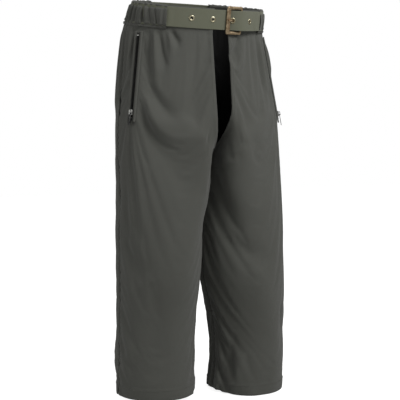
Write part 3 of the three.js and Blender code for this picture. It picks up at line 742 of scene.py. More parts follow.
felt = cloth_material(
    "felt", dark=(0.52, 0.47, 0.36), light=(0.68, 0.63, 0.50), faded=(0.60, 0.55, 0.44),
    across=3100, along=3100, rib=0.1, bump=0.7, sheen=0.3)
thread = cloth_material(
    "thread", dark=(0.060, 0.060, 0.050), light=(0.120, 0.120, 0.105), faded=(0.090, 0.090, 0.080),
    across=9000, along=9000, rib=0.8, bump=0.3, sheen=0.1, roughness=0.7, coordinate="Object")
CLOTHS = (canvas, webbing, lining_cloth, elastic_web, zip_tape, felt, thread)
print("cloths:", *(material.name for material in CLOTHS))

# %% [markdown]
# ## Metal finishes
# The buckle and eyelets are antique brass: bright where hands rub them, brown in the hollows.
# The wear could be painted by hand, but a noise mask with fine scratches over it is enough at
# this size. One group makes the mask, and each metal chooses its own two colours.

# %% Metal wear group
def make_wear_group():
    """Where metal has been rubbed bright, and its small pits."""
    group, entry, leave = new_group(
        "rubbed_metal",
        [("Place", "NodeSocketVector", None), ("Size", "NodeSocketFloat", 90.0)],
        [("Rubbed", "NodeSocketFloat"), ("Pits", "NodeSocketFloat")])
    cloud = group.nodes.new("ShaderNodeTexNoise")
    cloud.inputs["Detail"].default_value = 6
    cloud.inputs["Roughness"].default_value = 0.65
    group.links.new(entry.outputs["Place"], cloud.inputs["Vector"])
    group.links.new(entry.outputs["Size"], cloud.inputs["Scale"])
    ramp = group.nodes.new("ShaderNodeMapRange")
    ramp.inputs["From Min"].default_value = 0.38
    ramp.inputs["From Max"].default_value = 0.62
    group.links.new(cloud.outputs["Fac"], ramp.inputs["Value"])
    group.links.new(ramp.outputs["Result"], leave.inputs["Rubbed"])
    group.links.new(noise_node(group, entry.outputs["Place"], 700.0, 5), leave.inputs["Pits"])
    return group


wear_group = make_wear_group()
print("group:", wear_group.name)


# %% Metal materials
def metal_material(name, hollow, rubbed, size, smooth_low, smooth_high):
    material = bpy.data.materials.new(name)
    material.use_nodes = True
    tree = material.node_tree
    shader = tree.nodes["Principled BSDF"]
    where = tree.nodes.new("ShaderNodeTexCoord")
    wear = use_group(tree, wear_group, Size=size)
    tree.links.new(where.outputs["Object"], wear.inputs["Place"])
    tree.links.new(colour_mix(tree, wear.outputs["Rubbed"], hollow, rubbed), shader.inputs["Base Color"])
    shader.inputs["Metallic"].default_value = 1.0
    rough = tree.nodes.new("ShaderNodeMapRange")
    rough.inputs["To Min"].default_value = smooth_low
    rough.inputs["To Max"].default_value = smooth_high
    tree.links.new(wear.outputs["Rubbed"], rough.inputs["Value"])
    tree.links.new(rough.outputs["Result"], shader.inputs["Roughness"])
    pits = tree.nodes.new("ShaderNodeBump")
    pits.inputs["Strength"].default_value = 0.25
    pits.inputs["Distance"].default_value = 0.0002
    tree.links.new(wear.outputs["Pits"], pits.inputs["Height"])
    tree.links.new(pits.outputs["Normal"], shader.inputs["Normal"])
    return material


brass = metal_material(
    "antique_brass", hollow=(0.24, 0.16, 0.095), rubbed=(0.60, 0.47, 0.30),
    size=120.0, smooth_low=0.55, smooth_high=0.36)
pale_brass = metal_material(
    "eyelet_brass", hollow=(0.34, 0.30, 0.19), rubbed=(0.68, 0.64, 0.47),
    size=160.0, smooth_low=0.42, smooth_high=0.28)
nickel = metal_material(
    "zip_nickel", hollow=(0.16, 0.16, 0.15), rubbed=(0.42, 0.42, 0.40),
    size=300.0, smooth_low=0.48, smooth_high=0.34)
dark_enamel = metal_material(
    "dark_enamel", hollow=(0.010, 0.010, 0.010), rubbed=(0.045, 0.045, 0.043),
    size=260.0, smooth_low=0.5, smooth_high=0.35)
dark_teeth = metal_material(
    "zip_teeth_dark", hollow=(0.012, 0.012, 0.012), rubbed=(0.035, 0.035, 0.034),
    size=500.0, smooth_low=0.5, smooth_high=0.35)
METALS = (brass, pale_brass, nickel, dark_enamel, dark_teeth)
print("metals:", *(material.name for material in METALS))

# %% [markdown]
# ## Laying a layer of cloth on the leg
# Every layer is a grid of small faces laid on the draped leg at its own depth. It could be one
# thick solid, but real legs are cut as panels, so each layer is a sheet with its own edges. The
# UV map is in metres along the cloth, so that a weave has the same size on every piece.

# %% Leg layers
CELL = 0.0036
SLIT_FOOT = 0.580
SLIT_TALL = 0.064
SLIT_HALF = 2.2           # degrees that each lip of the hand slit stands open
SLIT_SPREAD = 5           # and over which the cloth beside it makes room


def set_uv(piece, share, wide, tall, from_wide=0.0, from_tall=0.0):
    """Gives each corner the metres along the cloth where its vertex lies."""
    mesh = piece.data
    layer = mesh.uv_layers.new(name="cloth")
    index = np.empty(len(mesh.loops), np.int32)
    mesh.loops.foreach_get("vertex_index", index)
    along = np.stack([from_wide + share[:, 0] * wide, from_tall + share[:, 1] * tall], -1)
    layer.data.foreach_set("uv", along[index].astype(np.float32).ravel())


def smooth(piece):
    piece.data.shade_smooth()
    return piece


def turn_over(piece):
    shape = bmesh.new()
    shape.from_mesh(piece.data)
    bmesh.ops.reverse_faces(shape, faces=shape.faces)
    shape.to_mesh(piece.data)
    shape.free()


def thicken(piece, thick):
    """A live wall whose outer face stays where the sheet is."""
    wall = piece.modifiers.new("wall", "SOLIDIFY")
    wall.thickness = thick
    wall.offset = -1
    wall.use_even_offset = False


def finish_piece(piece, body, slot, material, *nodes):
    piece.data.materials.clear()
    piece.data.materials.append(material)
    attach(piece, body)
    if nodes:
        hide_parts(*nodes)
    return smooth(piece)


def slit_shift(round_deg, height):
    """The lips of the hand slit stand apart along the side seam."""
    open_share = np.sin(np.pi * np.clip((height - SLIT_FOOT) / SLIT_TALL, 0, 1)) ** 0.6
    near = np.exp(-(abs(round_deg - 180) / SLIT_SPREAD) ** 2)
    return np.where(round_deg < 180, -1, 1) * SLIT_HALF * open_share * near


def leg_sheet(name, side, rounds, heights, depth, thick, cell=CELL):
    """A sheet over part of the leg; depth is a number or a rule of round and height."""
    wide = (rounds[1] - rounds[0]) * DEGREE_LENGTH
    tall = heights[1] - heights[0]
    columns = max(4, round(wide / cell))
    rows = max(4, round(tall / cell))

    def place(across, up):
        round_deg = mix(rounds[0], rounds[1], across)
        height = mix(heights[0], heights[1], up)
        deep = depth(round_deg, height) if callable(depth) else depth
        round_deg = round_deg + slit_shift(round_deg, height)
        return on_leg(side, round_deg, height, deep)

    piece, share = grid_object(name, columns + 1, rows + 1, place)
    set_uv(piece, share, wide, tall, rounds[0] * DEGREE_LENGTH, heights[0])
    if side == "right":
        turn_over(piece)
    thicken(piece, thick)
    return piece


print("a layer's cells are", CELL * 1000, "mm")

# %% [markdown]
# ## Shell panels
# The front panel and the back panel meet at the side seam and the inseam. The front and seat
# edges are turned in and stitched twice, and the hem is turned up, so the cloth is a little
# fuller there. That could be a second sheet inside; a small lift along the edge reads the same.

# %% Shell panels
SHELL_THICK = 0.0012
EDGE_TURN = 0.009
HEM_TURN = 0.024
TURN_LIFT = 0.0009
TURN_FADE = 0.001
SEAM_GAP = 0.15           # degrees from a seam to the edge of a panel
SEAM_SINK = 0.0012
SEAM_WIDE = 0.0022
SEAM_PUCKER = 0.0007
PUCKER_WIDE = 0.008


def edge_distance(round_deg, height):
    """Metres from the free edge at the front or the seat, above the crotch."""
    return np.where(height > CROTCH_HEIGHT - 0.004, from_inseam(round_deg) * DEGREE_LENGTH, 1.0)


def turned_in(away, turn):
    """1 over an edge that is turned in, 0 past it."""
    return 1 - ease(away, turn - TURN_FADE, turn + TURN_FADE)


def shell_depth(round_deg, height):
    """The shell stands out over its turned edges and its puckers, and sinks at its seams."""
    lift = TURN_LIFT * turned_in(edge_distance(round_deg, height), EDGE_TURN)
    lift = lift + TURN_LIFT * turned_in(height, HEM_TURN)
    side_seam = abs(round_deg - 180) * DEGREE_LENGTH
    inseam = np.where(height < CROTCH_HEIGHT, from_inseam(round_deg) * DEGREE_LENGTH, 1.0)
    seam = np.minimum(side_seam, inseam)
    sunk = SEAM_SINK * np.exp(-(seam / SEAM_WIDE) ** 2)
    pucker = SEAM_PUCKER * np.sin(height * 520) * np.exp(-(seam / PUCKER_WIDE) ** 2)
    return sunk - lift - pucker


FRONT_ROUNDS = (SEAM_GAP, 180 - SEAM_GAP)
BACK_ROUNDS = (180 + SEAM_GAP, 360 - SEAM_GAP)
WHOLE_HEIGHT = (0.0, BAND_TOP)
for side in SIDES:
    for part, rounds in (("front_panel", FRONT_ROUNDS), ("back_panel", BACK_ROUNDS)):
        panel = leg_sheet(f"{side}_{part}_cloth", side, rounds, WHOLE_HEIGHT, shell_depth, SHELL_THICK)
        finish_piece(panel, "chaps", "shell_canvas", canvas, f"{side}_{part}")

# %% [markdown]
# ## Lining, pad and pocket
# Inside each leg a black lining hangs free of the shell, and between the two lies the pad: many
# layers of loose fibre felt, quilted together, which is what stops a saw chain. The pad could be
# a plain slab, but its quilting lines sink into it, so it is swollen between them.

# %% Inner layers
LAYER_GAP = 0.0005
PAD_THICK = 0.005
QUILT_SINK = 0.0014
FACING_THICK = 0.0008
LINING_THICK = 0.001
POCKET_THICK = 0.0012
PAD_ROUNDS = (30, 120)
PAD_HEIGHTS = (0.070, 0.538)
POCKET_ROUNDS = (113, 160)
POCKET_HEIGHTS = (0.560, BAND_FOOT)
QUILT_PITCH = 0.042
UNDER_SHELL = SHELL_THICK + LAYER_GAP
FACING_HEIGHTS = (BAND_TOP - 0.020, BAND_TOP)
FACING_DEPTH = UNDER_SHELL + LINING_THICK + LAYER_GAP


def lining_depth(round_deg, height):
    over_pad = inside(round_deg, PAD_ROUNDS, 5) * inside(height, PAD_HEIGHTS, 0.012)
    over_pocket = inside(round_deg, POCKET_ROUNDS, 5) * inside(height, POCKET_HEIGHTS, 0.012)
    deep = np.maximum((PAD_THICK + LAYER_GAP) * over_pad, (POCKET_THICK + LAYER_GAP) * over_pocket)
    return UNDER_SHELL + deep


def pad_depth(round_deg, height):
    """Channels run both ways across the pad and sink its outer face a little."""
    along = np.abs(np.sin(np.pi * (round_deg - PAD_ROUNDS[0]) * DEGREE_LENGTH / QUILT_PITCH))
    upward = np.abs(np.sin(np.pi * (height - PAD_HEIGHTS[0]) / QUILT_PITCH))
    return UNDER_SHELL + QUILT_SINK * (1 - np.minimum(along, upward) ** 0.4)


def make_lining(side):
    lining = leg_sheet(f"{side}_lining_cloth", side, (0.3, 359.7), (0.002, BAND_TOP - 0.001),
                       lining_depth, LINING_THICK, 0.005)
    return finish_piece(lining, "chaps", "black_lining", lining_cloth, f"{side}_lining")


def make_pocket(side):
    pocket = leg_sheet(f"{side}_pocket_bag_cloth", side, POCKET_ROUNDS, POCKET_HEIGHTS,
                       UNDER_SHELL, POCKET_THICK, 0.005)
    return finish_piece(pocket, "chaps", "black_lining", lining_cloth, f"{side}_pocket_bag")


def make_pad(side):
    pad = leg_sheet(f"{side}_pad_felt", side, PAD_ROUNDS, PAD_HEIGHTS, pad_depth,
                    PAD_THICK - QUILT_SINK, 0.004)
    finish_piece(pad, "chaps", "protective_felt", felt, f"{side}_cut_protection_pad")


def make_facing(side):
    """The strip of canvas that covers the lining's top edge inside the band."""
    facing = leg_sheet(f"{side}_waist_facing", side, (2, 358), FACING_HEIGHTS, FACING_DEPTH,
                       FACING_THICK, 0.003)
    finish_piece(facing, "chaps", "shell_canvas", canvas, f"{side}_waist_tunnel")


for side in SIDES:
    lining = make_lining(side)
    pocket = make_pocket(side)
    make_pad(side)
    make_facing(side)
print("lining, pocket and pad are under each shell")

# %% [markdown]
# ## Waist tunnels
# The belt runs through a tunnel of canvas on each leg, gathered by an elastic inside it. The
# puckers could be left to a simulation, but gathers follow their stitching: each pleat starts
# at the top or bottom seam and dies out on the way across. So the tunnel is a swept sheet whose
# pleats are a sum of waves round the waist, strongest at the seams.

# %% Gathers
TUNNEL_MOUTH = 42
TUNNEL_ROOM = 0.0052      # over one belt layer
TIP_ROOM = 0.0020         # and over the belt's free end too, on the left
TIP_ANGLE = 62
TUNNEL_THICK = 0.00096
TUNNEL_CELLS = (230, 26)
TUNNEL_TOP = BELT_TALL / 2 + 0.0024
TUNNEL_FOOT = -BELT_TALL / 2 - 0.006
MEAN_WAIST = (WAIST_WIDE + WAIST_DEEP) / 2
PLEAT_DEEP = 0.0031
PLEAT_SEED = {"left": 3.0, "right": 11.0}


def pleats(angle, level, seed):
    """Outward rise of the gathers; level runs from 0 at the foot to 1 at the top."""
    lean = 5.0 * np.sin(angle * 0.11 + seed) * (level - 0.5)
    turn = angle + lean
    puff = 2 * np.abs(np.sin(turn * 0.40 + 0.5 * np.sin(turn * 0.23) + seed)) ** 0.6 - 1
    crease = 0.35 * np.sin(turn * 1.15 + 3 * level + 2 * seed)
    hold = 0.9 + 0.35 * np.sin(turn * 0.31 + 2 * level + seed)
    calm = ease(angle, TUNNEL_MOUTH + 1, TUNNEL_MOUTH + 9)
    return (puff + crease) * hold * calm


def tunnel_section(side, angle, level):
    """Out and up of the tunnel's face as level goes from the foot seam to the top seam."""
    swell = np.sin(np.pi * level) ** 0.38
    over_tip = 1 - ease(angle, TIP_ANGLE, TIP_ANGLE + 6)
    room = TUNNEL_ROOM + (TIP_ROOM * over_tip if side == "left" else 0)
    return room * swell, mix(TUNNEL_FOOT, TUNNEL_TOP, level)


def waist_sheet(name, side, angles, cells, place, thick, tall):
    """A sheet round the waist, laid out by place(angle, level) on the wearer's left."""
    piece, share = grid_object(
        name, cells[0] + 1, cells[1] + 1,
        lambda across, up: place(mix(angles[0], angles[1], across), up) * (SIDES[side], 1, 1))
    set_uv(piece, share, math.radians(angles[1] - angles[0]) * MEAN_WAIST, tall)
    if side == "right":
        turn_over(piece)
    thicken(piece, thick)
    return piece


def tunnel_face(side, angle, level, depth=0.0):
    """The gathered face of a tunnel, on its own side of the body."""
    rise = pleats(angle, level, PLEAT_SEED[side])
    out, up = tunnel_section(side, angle, level)
    seam = np.minimum(level, 1 - level)
    ruffle = np.exp(-(seam / 0.05) ** 2)
    strength = 0.25 + 0.30 * ruffle * (level > 0.5) + 0.75 * ease(seam, 0.09, 0.20)
    mouth = 0.0012 * (1 - ease(angle, TUNNEL_MOUTH + 1.5, TUNNEL_MOUTH + 3.5))
    pinch = 0.0026 * np.exp(-((seam - 0.12) / 0.035) ** 2)
    out = out + 0.0014 + mouth + PLEAT_DEEP * np.maximum(rise, -0.9) * strength - pinch
    up = up + 0.0009 * rise * ruffle * np.sign(level - 0.5)
    foot_hold = ease(level, 0.0, 0.08)
    out = mix(0.0012, np.maximum(out, 0.0008), foot_hold)
    return waist_place(angle, up, out + depth) * (SIDES[side], 1, 1)


def make_tunnel(side):
    def place(angle, level):
        return tunnel_face(side, angle, level) * (SIDES[side], 1, 1)

    piece = waist_sheet(f"{side}_tunnel_cloth", side, (TUNNEL_MOUTH, BACK_EDGE_ANGLE), TUNNEL_CELLS,
                        place, TUNNEL_THICK, 0.060)
    finish_piece(piece, "chaps", "shell_canvas", canvas, f"{side}_waist_tunnel")


def make_elastic(side):
    def place(angle, level):
        ribs = ELASTIC_RIB_DEEP * np.sin(np.pi * level * ELASTIC_RIBS) ** 2
        return waist_place(angle, mix(-ELASTIC_TALL / 2, ELASTIC_TALL / 2, level), ELASTIC_OUT + ribs)

    piece = waist_sheet(f"{side}_elastic_web", side, (TUNNEL_MOUTH + 5, BACK_EDGE_ANGLE - 2),
                        ELASTIC_CELLS, place, ELASTIC_THICK, ELASTIC_TALL)
    finish_piece(piece, "chaps", "elastic_web", elastic_web, f"{side}_waist_elastic")


print("pleats rise", PLEAT_DEEP * 1000, "mm")

# %% Tunnels and elastics
ELASTIC_TALL = 0.038
ELASTIC_THICK = 0.0009
ELASTIC_OUT = 0.0015
ELASTIC_RIBS = 9
ELASTIC_RIB_DEEP = 0.0003
ELASTIC_CELLS = (70, 18)

for side in SIDES:
    make_tunnel(side)
    make_elastic(side)
print("tunnels are gathered from", TUNNEL_MOUTH, "to", BACK_EDGE_ANGLE, "degrees")

# %% [markdown]
# ## Belt
# The belt is one strap of stiff webbing: sewn round the buckle's heel bar, through both tunnels
# behind the wearer, behind the far bar, over the heel bar and into the left tunnel. It could be
# a curve with a bevel, but a flat sheet laid along the same route keeps its weave straight and
# lets the eyelet holes and the prong's slot be opened in it before it is thickened.

# %% Belt route
BELT_THICK = 0.002
BAND_GAP = 0.0006
HEEL_ANGLE = 17.7
HEEL_BAR = 0.005
FRAME_BEVEL = 0.0012
LOOP_FLAP = 0.037
LOOP_SLOPE = 0.044
BUCKLE_REACH = 0.0316
FAR_BAR_WIDE = 0.009
BELT_TIP = 62
FLAP_ROWS = 20
LOOP_CLEAR = 0.00038
LAYER_CLEAR = 0.0005
BAR_CLEAR = 0.0006
ELASTIC_ROOM = 0.0012
FLAP_OUT = BAND_GAP + BELT_THICK / 2
LOOP_RADIUS = math.hypot(HEEL_BAR / 2, HEEL_BAR / 2 - FRAME_BEVEL) + LOOP_CLEAR + BELT_THICK / 2
HEEL_OUT = FLAP_OUT + LOOP_RADIUS
LAYER_PITCH = BELT_THICK + LAYER_CLEAR
TUNNEL_OUT = BAND_GAP + ELASTIC_ROOM + LAYER_CLEAR + BELT_THICK / 2


def angle_after(angle, length):
    """The angle that lies `length` further round the waist ring."""
    turn = math.radians(angle)
    per_radian = math.hypot(WAIST_WIDE * math.cos(turn), WAIST_DEEP * math.sin(turn))
    return angle + math.degrees(length / per_radian)


FLAP_END = angle_after(HEEL_ANGLE, LOOP_FLAP)
SLOPE_END = angle_after(HEEL_ANGLE, LOOP_SLOPE)
FAR_BAR = angle_after(HEEL_ANGLE, -BUCKLE_REACH)
CLIMB_START = angle_after(FAR_BAR, FAR_BAR_WIDE / 2 + BAR_CLEAR)


def fixed_out(angle):
    """How far out the fixed end of the belt runs, from the heel bar to the tunnel."""
    off = mix(HEEL_OUT + LOOP_RADIUS, FLAP_OUT + LAYER_PITCH, ease(angle, HEEL_ANGLE, SLOPE_END))
    return mix(off, TUNNEL_OUT, ease(angle, FLAP_END + 2, TUNNEL_MOUTH - 2))


def free_out(angle):
    """How far out the free end runs: behind the far bar, then over the heel bar."""
    flat = mix(TUNNEL_OUT, FLAP_OUT, ease(angle, -TUNNEL_MOUTH, 7 - TUNNEL_MOUTH))
    share = np.clip((angle - CLIMB_START) / (HEEL_ANGLE - CLIMB_START), 0, 1)
    climb = mix(flat, HEEL_OUT + LOOP_RADIUS + LAYER_PITCH, np.sin(share * np.pi / 2))
    return np.where(angle >= HEEL_ANGLE, fixed_out(angle) + LAYER_PITCH, climb)


def belt_route():
    """Rows of (angle, out) from the end of the sewn flap to the free tip."""
    flap = [(angle, FLAP_OUT) for angle in np.linspace(FLAP_END, HEEL_ANGLE, FLAP_ROWS)]
    loop = []
    for turn in np.linspace(0, math.pi, 16)[1:-1]:
        angle = angle_after(HEEL_ANGLE, -LOOP_RADIUS * math.sin(turn))
        loop.append((angle, HEEL_OUT - LOOP_RADIUS * math.cos(turn)))
    fixed = [(angle, float(fixed_out(angle))) for angle in np.linspace(HEEL_ANGLE, TUNNEL_MOUTH, 30)]
    round_back = np.linspace(TUNNEL_MOUTH, 360 - TUNNEL_MOUTH, 230)[1:-1]
    behind = [(angle, TUNNEL_OUT) for angle in round_back]
    free = [(angle + 360, float(free_out(angle))) for angle in np.linspace(-TUNNEL_MOUTH, BELT_TIP, 200)]
    return np.array(flap + loop + fixed + behind + free)


ROUTE = belt_route()
route_middle = waist_place(ROUTE[:, 0], np.zeros(len(ROUTE)), ROUTE[:, 1])
route_run = np.concatenate([[0], np.cumsum(np.linalg.norm(np.diff(route_middle, axis=0), axis=1))])
print("belt length", round(float(route_run[-1]), 3), "m")

# %% Eyelet seats
def node_points(node):
    """Where a CAD node's corners are, doubles dropped."""
    return np.unique(np.array([v.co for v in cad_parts[node].data.vertices]).round(7), axis=0)


def facing_out(direction, middle):
    """Turns a direction away from the wearer."""
    return direction if direction[0] * middle[0] + direction[1] * middle[1] > 0 else -direction


EYELETS = [f"belt_eyelet_{number}" for number in (1, 2, 3, 4)]
eyelet_seats = []
for node in EYELETS:
    points = node_points(node)
    centre = points.mean(0)
    spread = np.linalg.svd(points - centre, full_matrices=False)[2]
    eyelet_seats.append((centre, facing_out(spread[2], centre)))


print("eyelet seats:", len(eyelet_seats))

# %% Belt strap
BELT_ROWS = 30
EYELET_HOLE = 0.0037
EYELET_REACH = 0.0028     # a hole is only cut in the layer that its eyelet lies in
SLOT_SPARE = 0.0025
SLOT_HALF = 0.0024


def in_eyelet(middle):
    for seat, facing in eyelet_seats:
        aside = np.linalg.norm(np.cross(middle - seat, facing))
        if aside < EYELET_HOLE and abs((middle - seat) @ facing) < EYELET_REACH:
            return True
    return False


def in_prong_slot(run, up):
    """Whether a place lies in the slot that lets the prong through the belt's loop."""
    half_loop = LOOP_RADIUS * math.pi / 2
    away = abs(run - route_run[FLAP_ROWS - 1] - half_loop)
    return away < half_loop + SLOT_SPARE and abs(up) < SLOT_HALF


def open_holes(piece, share):
    """Takes out the faces at the eyelets and the prong's slot; returns how many."""
    shape = bmesh.new()
    shape.from_mesh(piece.data)
    holes = []
    for face in shape.faces:
        run = np.mean([share[v.index, 0] for v in face.verts]) * route_run[-1]
        up = (np.mean([share[v.index, 1] for v in face.verts]) - 0.5) * BELT_TALL
        if in_eyelet(np.array(face.calc_center_median())) or in_prong_slot(run, up):
            holes.append(face)
    bmesh.ops.delete(shape, geom=holes, context="FACES")
    shape.to_mesh(piece.data)
    shape.free()
    return len(holes)


def make_belt():
    def place(across, up):
        run = across * route_run[-1]
        angle = np.interp(run, route_run, ROUTE[:, 0])
        out = np.interp(run, route_run, ROUTE[:, 1])
        return waist_place(angle, (up - 0.5) * BELT_TALL, out)

    piece, share = grid_object("belt_webbing", len(ROUTE) * 2 + 1, BELT_ROWS + 1, place)
    set_uv(piece, share, float(route_run[-1]), BELT_TALL)
    hole_count = open_holes(piece, share)
    wall = piece.modifiers.new("wall", "SOLIDIFY")
    wall.thickness = BELT_THICK
    wall.offset = 0
    rounding = piece.modifiers.new("edge", "BEVEL")
    rounding.width = 0.0004
    rounding.segments = 2
    rounding.limit_method = "ANGLE"
    rounding.angle_limit = math.radians(50)
    finish_piece(piece, "chaps", "belt_webbing", webbing, "belt_strap")
    return hole_count


print("belt has", make_belt(), "faces opened for eyelets and the prong")

# %% [markdown]
# ## Eyelets
# A rolled eyelet is one thin tube of brass whose front edge is curled outwards over the cloth,
# with a flat washer behind. A torus would miss the tube, so a profile from the washer, up the
# tube and over the curl is spun round the eyelet's own axis.

# %% Eyelets
EYELET_BORE = 0.0028
EYELET_RIM = 0.0060
EYELET_WALL = 0.0007
WASHER_RIM = 0.0056
WASHER_THICK = 0.0005
CURL_HIGH = 0.0010
EYELET_STEPS = 40


def eyelet_profile():
    """Radius and height from the back washer to the rim of the curl and back under it."""
    half = BELT_THICK / 2
    seat = half + 0.0001
    under = seat + WASHER_THICK
    washer = [(WASHER_RIM, -seat), (WASHER_RIM, -under), (EYELET_BORE, -under)]
    curl_middle = (EYELET_BORE + EYELET_RIM) / 2
    curl_half = (EYELET_RIM - EYELET_BORE) / 2
    curl = [(curl_middle - curl_half * math.cos(turn), half + 0.0002 + CURL_HIGH * math.sin(turn))
            for turn in np.linspace(0, math.pi, 11)]
    return washer + curl + [(EYELET_BORE + EYELET_WALL, seat), (EYELET_BORE + EYELET_WALL, -seat)]


def spun_shape(profile, steps):
    """Spins a closed profile of (radius, height) round Z."""
    shape = bmesh.new()
    verts = [shape.verts.new((radius, 0, height)) for radius, height in profile]
    edges = [shape.edges.new(pair) for pair in zip(verts, verts[1:] + verts[:1])]
    bmesh.ops.spin(shape, geom=verts + edges, cent=(0, 0, 0), axis=(0, 0, 1), angle=2 * math.pi,
                   steps=steps, use_merge=True)
    bmesh.ops.remove_doubles(shape, verts=shape.verts, dist=1e-6)
    bmesh.ops.recalc_face_normals(shape, faces=shape.faces)
    return shape


def shape_object(name, shape, matrix=None):
    """Puts a bmesh into an object at the origin, its place in its mesh."""
    if matrix is not None:
        bmesh.ops.transform(shape, matrix=matrix, verts=shape.verts)
    mesh = bpy.data.meshes.new(name)
    shape.to_mesh(mesh)
    shape.free()
    piece = bpy.data.objects.new(name, mesh)
    bpy.context.scene.collection.objects.link(piece)
    return piece


def axes_matrix(place, x, y, z):
    axes = Matrix((Vector(x), Vector(y), Vector(z))).transposed().to_4x4()
    return Matrix.Translation(Vector(place)) @ axes


def facing_matrix(place, outward):
    """A frame at a place with Z outwards and Y as near upwards as it can be."""
    z = Vector(outward).normalized()
    x = Vector((0, 0, 1)).cross(z).normalized()
    return axes_matrix(place, x, z.cross(x), z)


for node, (seat, facing) in zip(EYELETS, eyelet_seats):
    points = node_points(node)
    depth = (points - seat) @ facing
    middle = seat + facing * (depth.min() + BELT_THICK / 2)
    ring = shape_object(f"{node}_rolled", spun_shape(eyelet_profile(), EYELET_STEPS),
                        facing_matrix(middle, facing))
    finish_piece(ring, "chaps", "antique_brass", pale_brass, node)
print("eyelets:", len(EYELETS))

# %% [markdown]
# ## Cast and pressed hardware
# The buckle, its prong, the zip sliders and their pull tabs are cast or pressed, so every edge
# is a little round. Their CAD shapes are right but sharp. They could be drawn again; instead a
# merged copy of each gets its flat faces joined up and its sharp edges bevelled.

# %% Rounded copies of the hardware
FLAT_ANGLE = math.radians(1.5)
SHARP_ANGLE = math.radians(30)


def rounded_copy(node, name, width, segments, body, slot, material):
    shape = bmesh.new()
    shape.from_mesh(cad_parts[node].data)
    bmesh.ops.remove_doubles(shape, verts=shape.verts, dist=1e-6)
    bmesh.ops.dissolve_limit(shape, angle_limit=FLAT_ANGLE, verts=shape.verts, edges=shape.edges)
    sharp = [e for e in shape.edges if e.is_manifold and e.calc_face_angle() > SHARP_ANGLE]
    bmesh.ops.bevel(shape, geom=sharp, offset=width, offset_type="OFFSET", segments=segments,
                    profile=0.5, affect="EDGES", material=-1, clamp_overlap=True)
    piece = shape_object(name, shape)
    finish_piece(piece, body, slot, material, node)
    crease = piece.modifiers.new("normals", "WEIGHTED_NORMAL")
    crease.keep_sharp = False


rounded_copy("buckle_frame", "buckle_frame_cast", 0.0007, 3, "buckle", "antique_brass", brass)
rounded_copy("buckle_prong", "buckle_prong_cast", 0.0005, 2, "prong", "antique_brass", brass)
for side in SIDES:
    rounded_copy(f"{side}_zip_slider", f"{side}_slider_cast", 0.00035, 2,
                 f"{side}_slider", "zip_metal", nickel)
    rounded_copy(f"{side}_zip_puller", f"{side}_pull_tab", 0.00025, 2,
                 f"{side}_puller", "zip_metal", dark_enamel)
    for stop in ("zip_top_stop", "zip_bottom_stop"):
        rounded_copy(f"{side}_{stop}", f"{side}_{stop}_pressed", 0.0003, 2,
                     "chaps", "zip_metal", nickel)
print("hardware is rounded")

# %% [markdown]
# ## Hip zips
# A zip is two tapes with a row of teeth each, and canvas welts fold over the tapes so that only
# the teeth show. The teeth could be drawn as a striped texture, but they catch the light, so one
# small bevelled tooth is copied up the row, left and right in turn.

# %% Zip teeth
TOOTH_PITCH = 0.0016
TOOTH_SIZE = (0.0027, 0.00095, 0.0016)
TOOTH_OFFSET = 0.0008
TOOTH_BEVEL = 0.0002


def zip_frame(side):
    """Middle of the row of teeth, the directions across, up and out of it, and half its length."""
    points = node_points(f"{side}_zip_teeth")
    centre = points.mean(0)
    up, across, out = np.linalg.svd(points - centre, full_matrices=False)[2]
    up = up if up[2] > 0 else -up
    out = facing_out(out, centre)
    across = np.cross(up, out)
    reach = (points - centre) @ up
    return centre, across, up, out, float(reach.max())


def bevelled_block(size, width):
    shape = bmesh.new()
    bmesh.ops.create_cube(shape, size=1)
    bmesh.ops.scale(shape, vec=size, verts=shape.verts)
    bmesh.ops.bevel(shape, geom=shape.edges[:], offset=width, offset_type="OFFSET", segments=1,
                    profile=0.5, affect="EDGES", material=-1)
    return shape


def repeat_shape(name, shape, matrices):
    """One piece made of many copies of a small shape."""
    seed = bpy.data.meshes.new("seed")
    shape.to_mesh(seed)
    shape.free()
    whole = bmesh.new()
    for matrix in matrices:
        before = len(whole.verts)
        whole.from_mesh(seed)
        whole.verts.ensure_lookup_table()
        bmesh.ops.transform(whole, matrix=matrix, verts=whole.verts[before:])
    bpy.data.meshes.remove(seed)
    return shape_object(name, whole)


for side in SIDES:
    centre, across, up, out, half = zip_frame(side)
    count = int(2 * half / TOOTH_PITCH * 2)
    places = []
    for tooth in range(count):
        way = 1 if tooth % 2 else -1
        run = -half + (tooth + 0.5) * TOOTH_PITCH / 2
        places.append(axes_matrix(centre + up * run + across * way * TOOTH_OFFSET, across, up, out))
    teeth = repeat_shape(f"{side}_teeth_row", bevelled_block(TOOTH_SIZE, TOOTH_BEVEL), places)
    finish_piece(teeth, "chaps", "zip_metal", dark_teeth, f"{side}_zip_teeth")
print("teeth in each zip:", count)

# %% Tapes and welts
TAPE_INNER = 0.0009
TAPE_OUTER = 0.0100
TAPE_OUT = 0.0010
WELT_ACROSS = (0.0030, 0.0047, 0.0060, 0.0080, 0.0094, 0.0106)
WELT_FACE = 0.0026
WELT_OUT = (0.0014, 0.0016, WELT_FACE, WELT_FACE, 0.0019, 0.0002)
ZIP_OVERRUN = 0.007
WELT_OVERRUN = 0.003
STRIP_ROWS = 90
TEETH_MIDDLE = 0.0025     # out from the cloth to the middle of the teeth


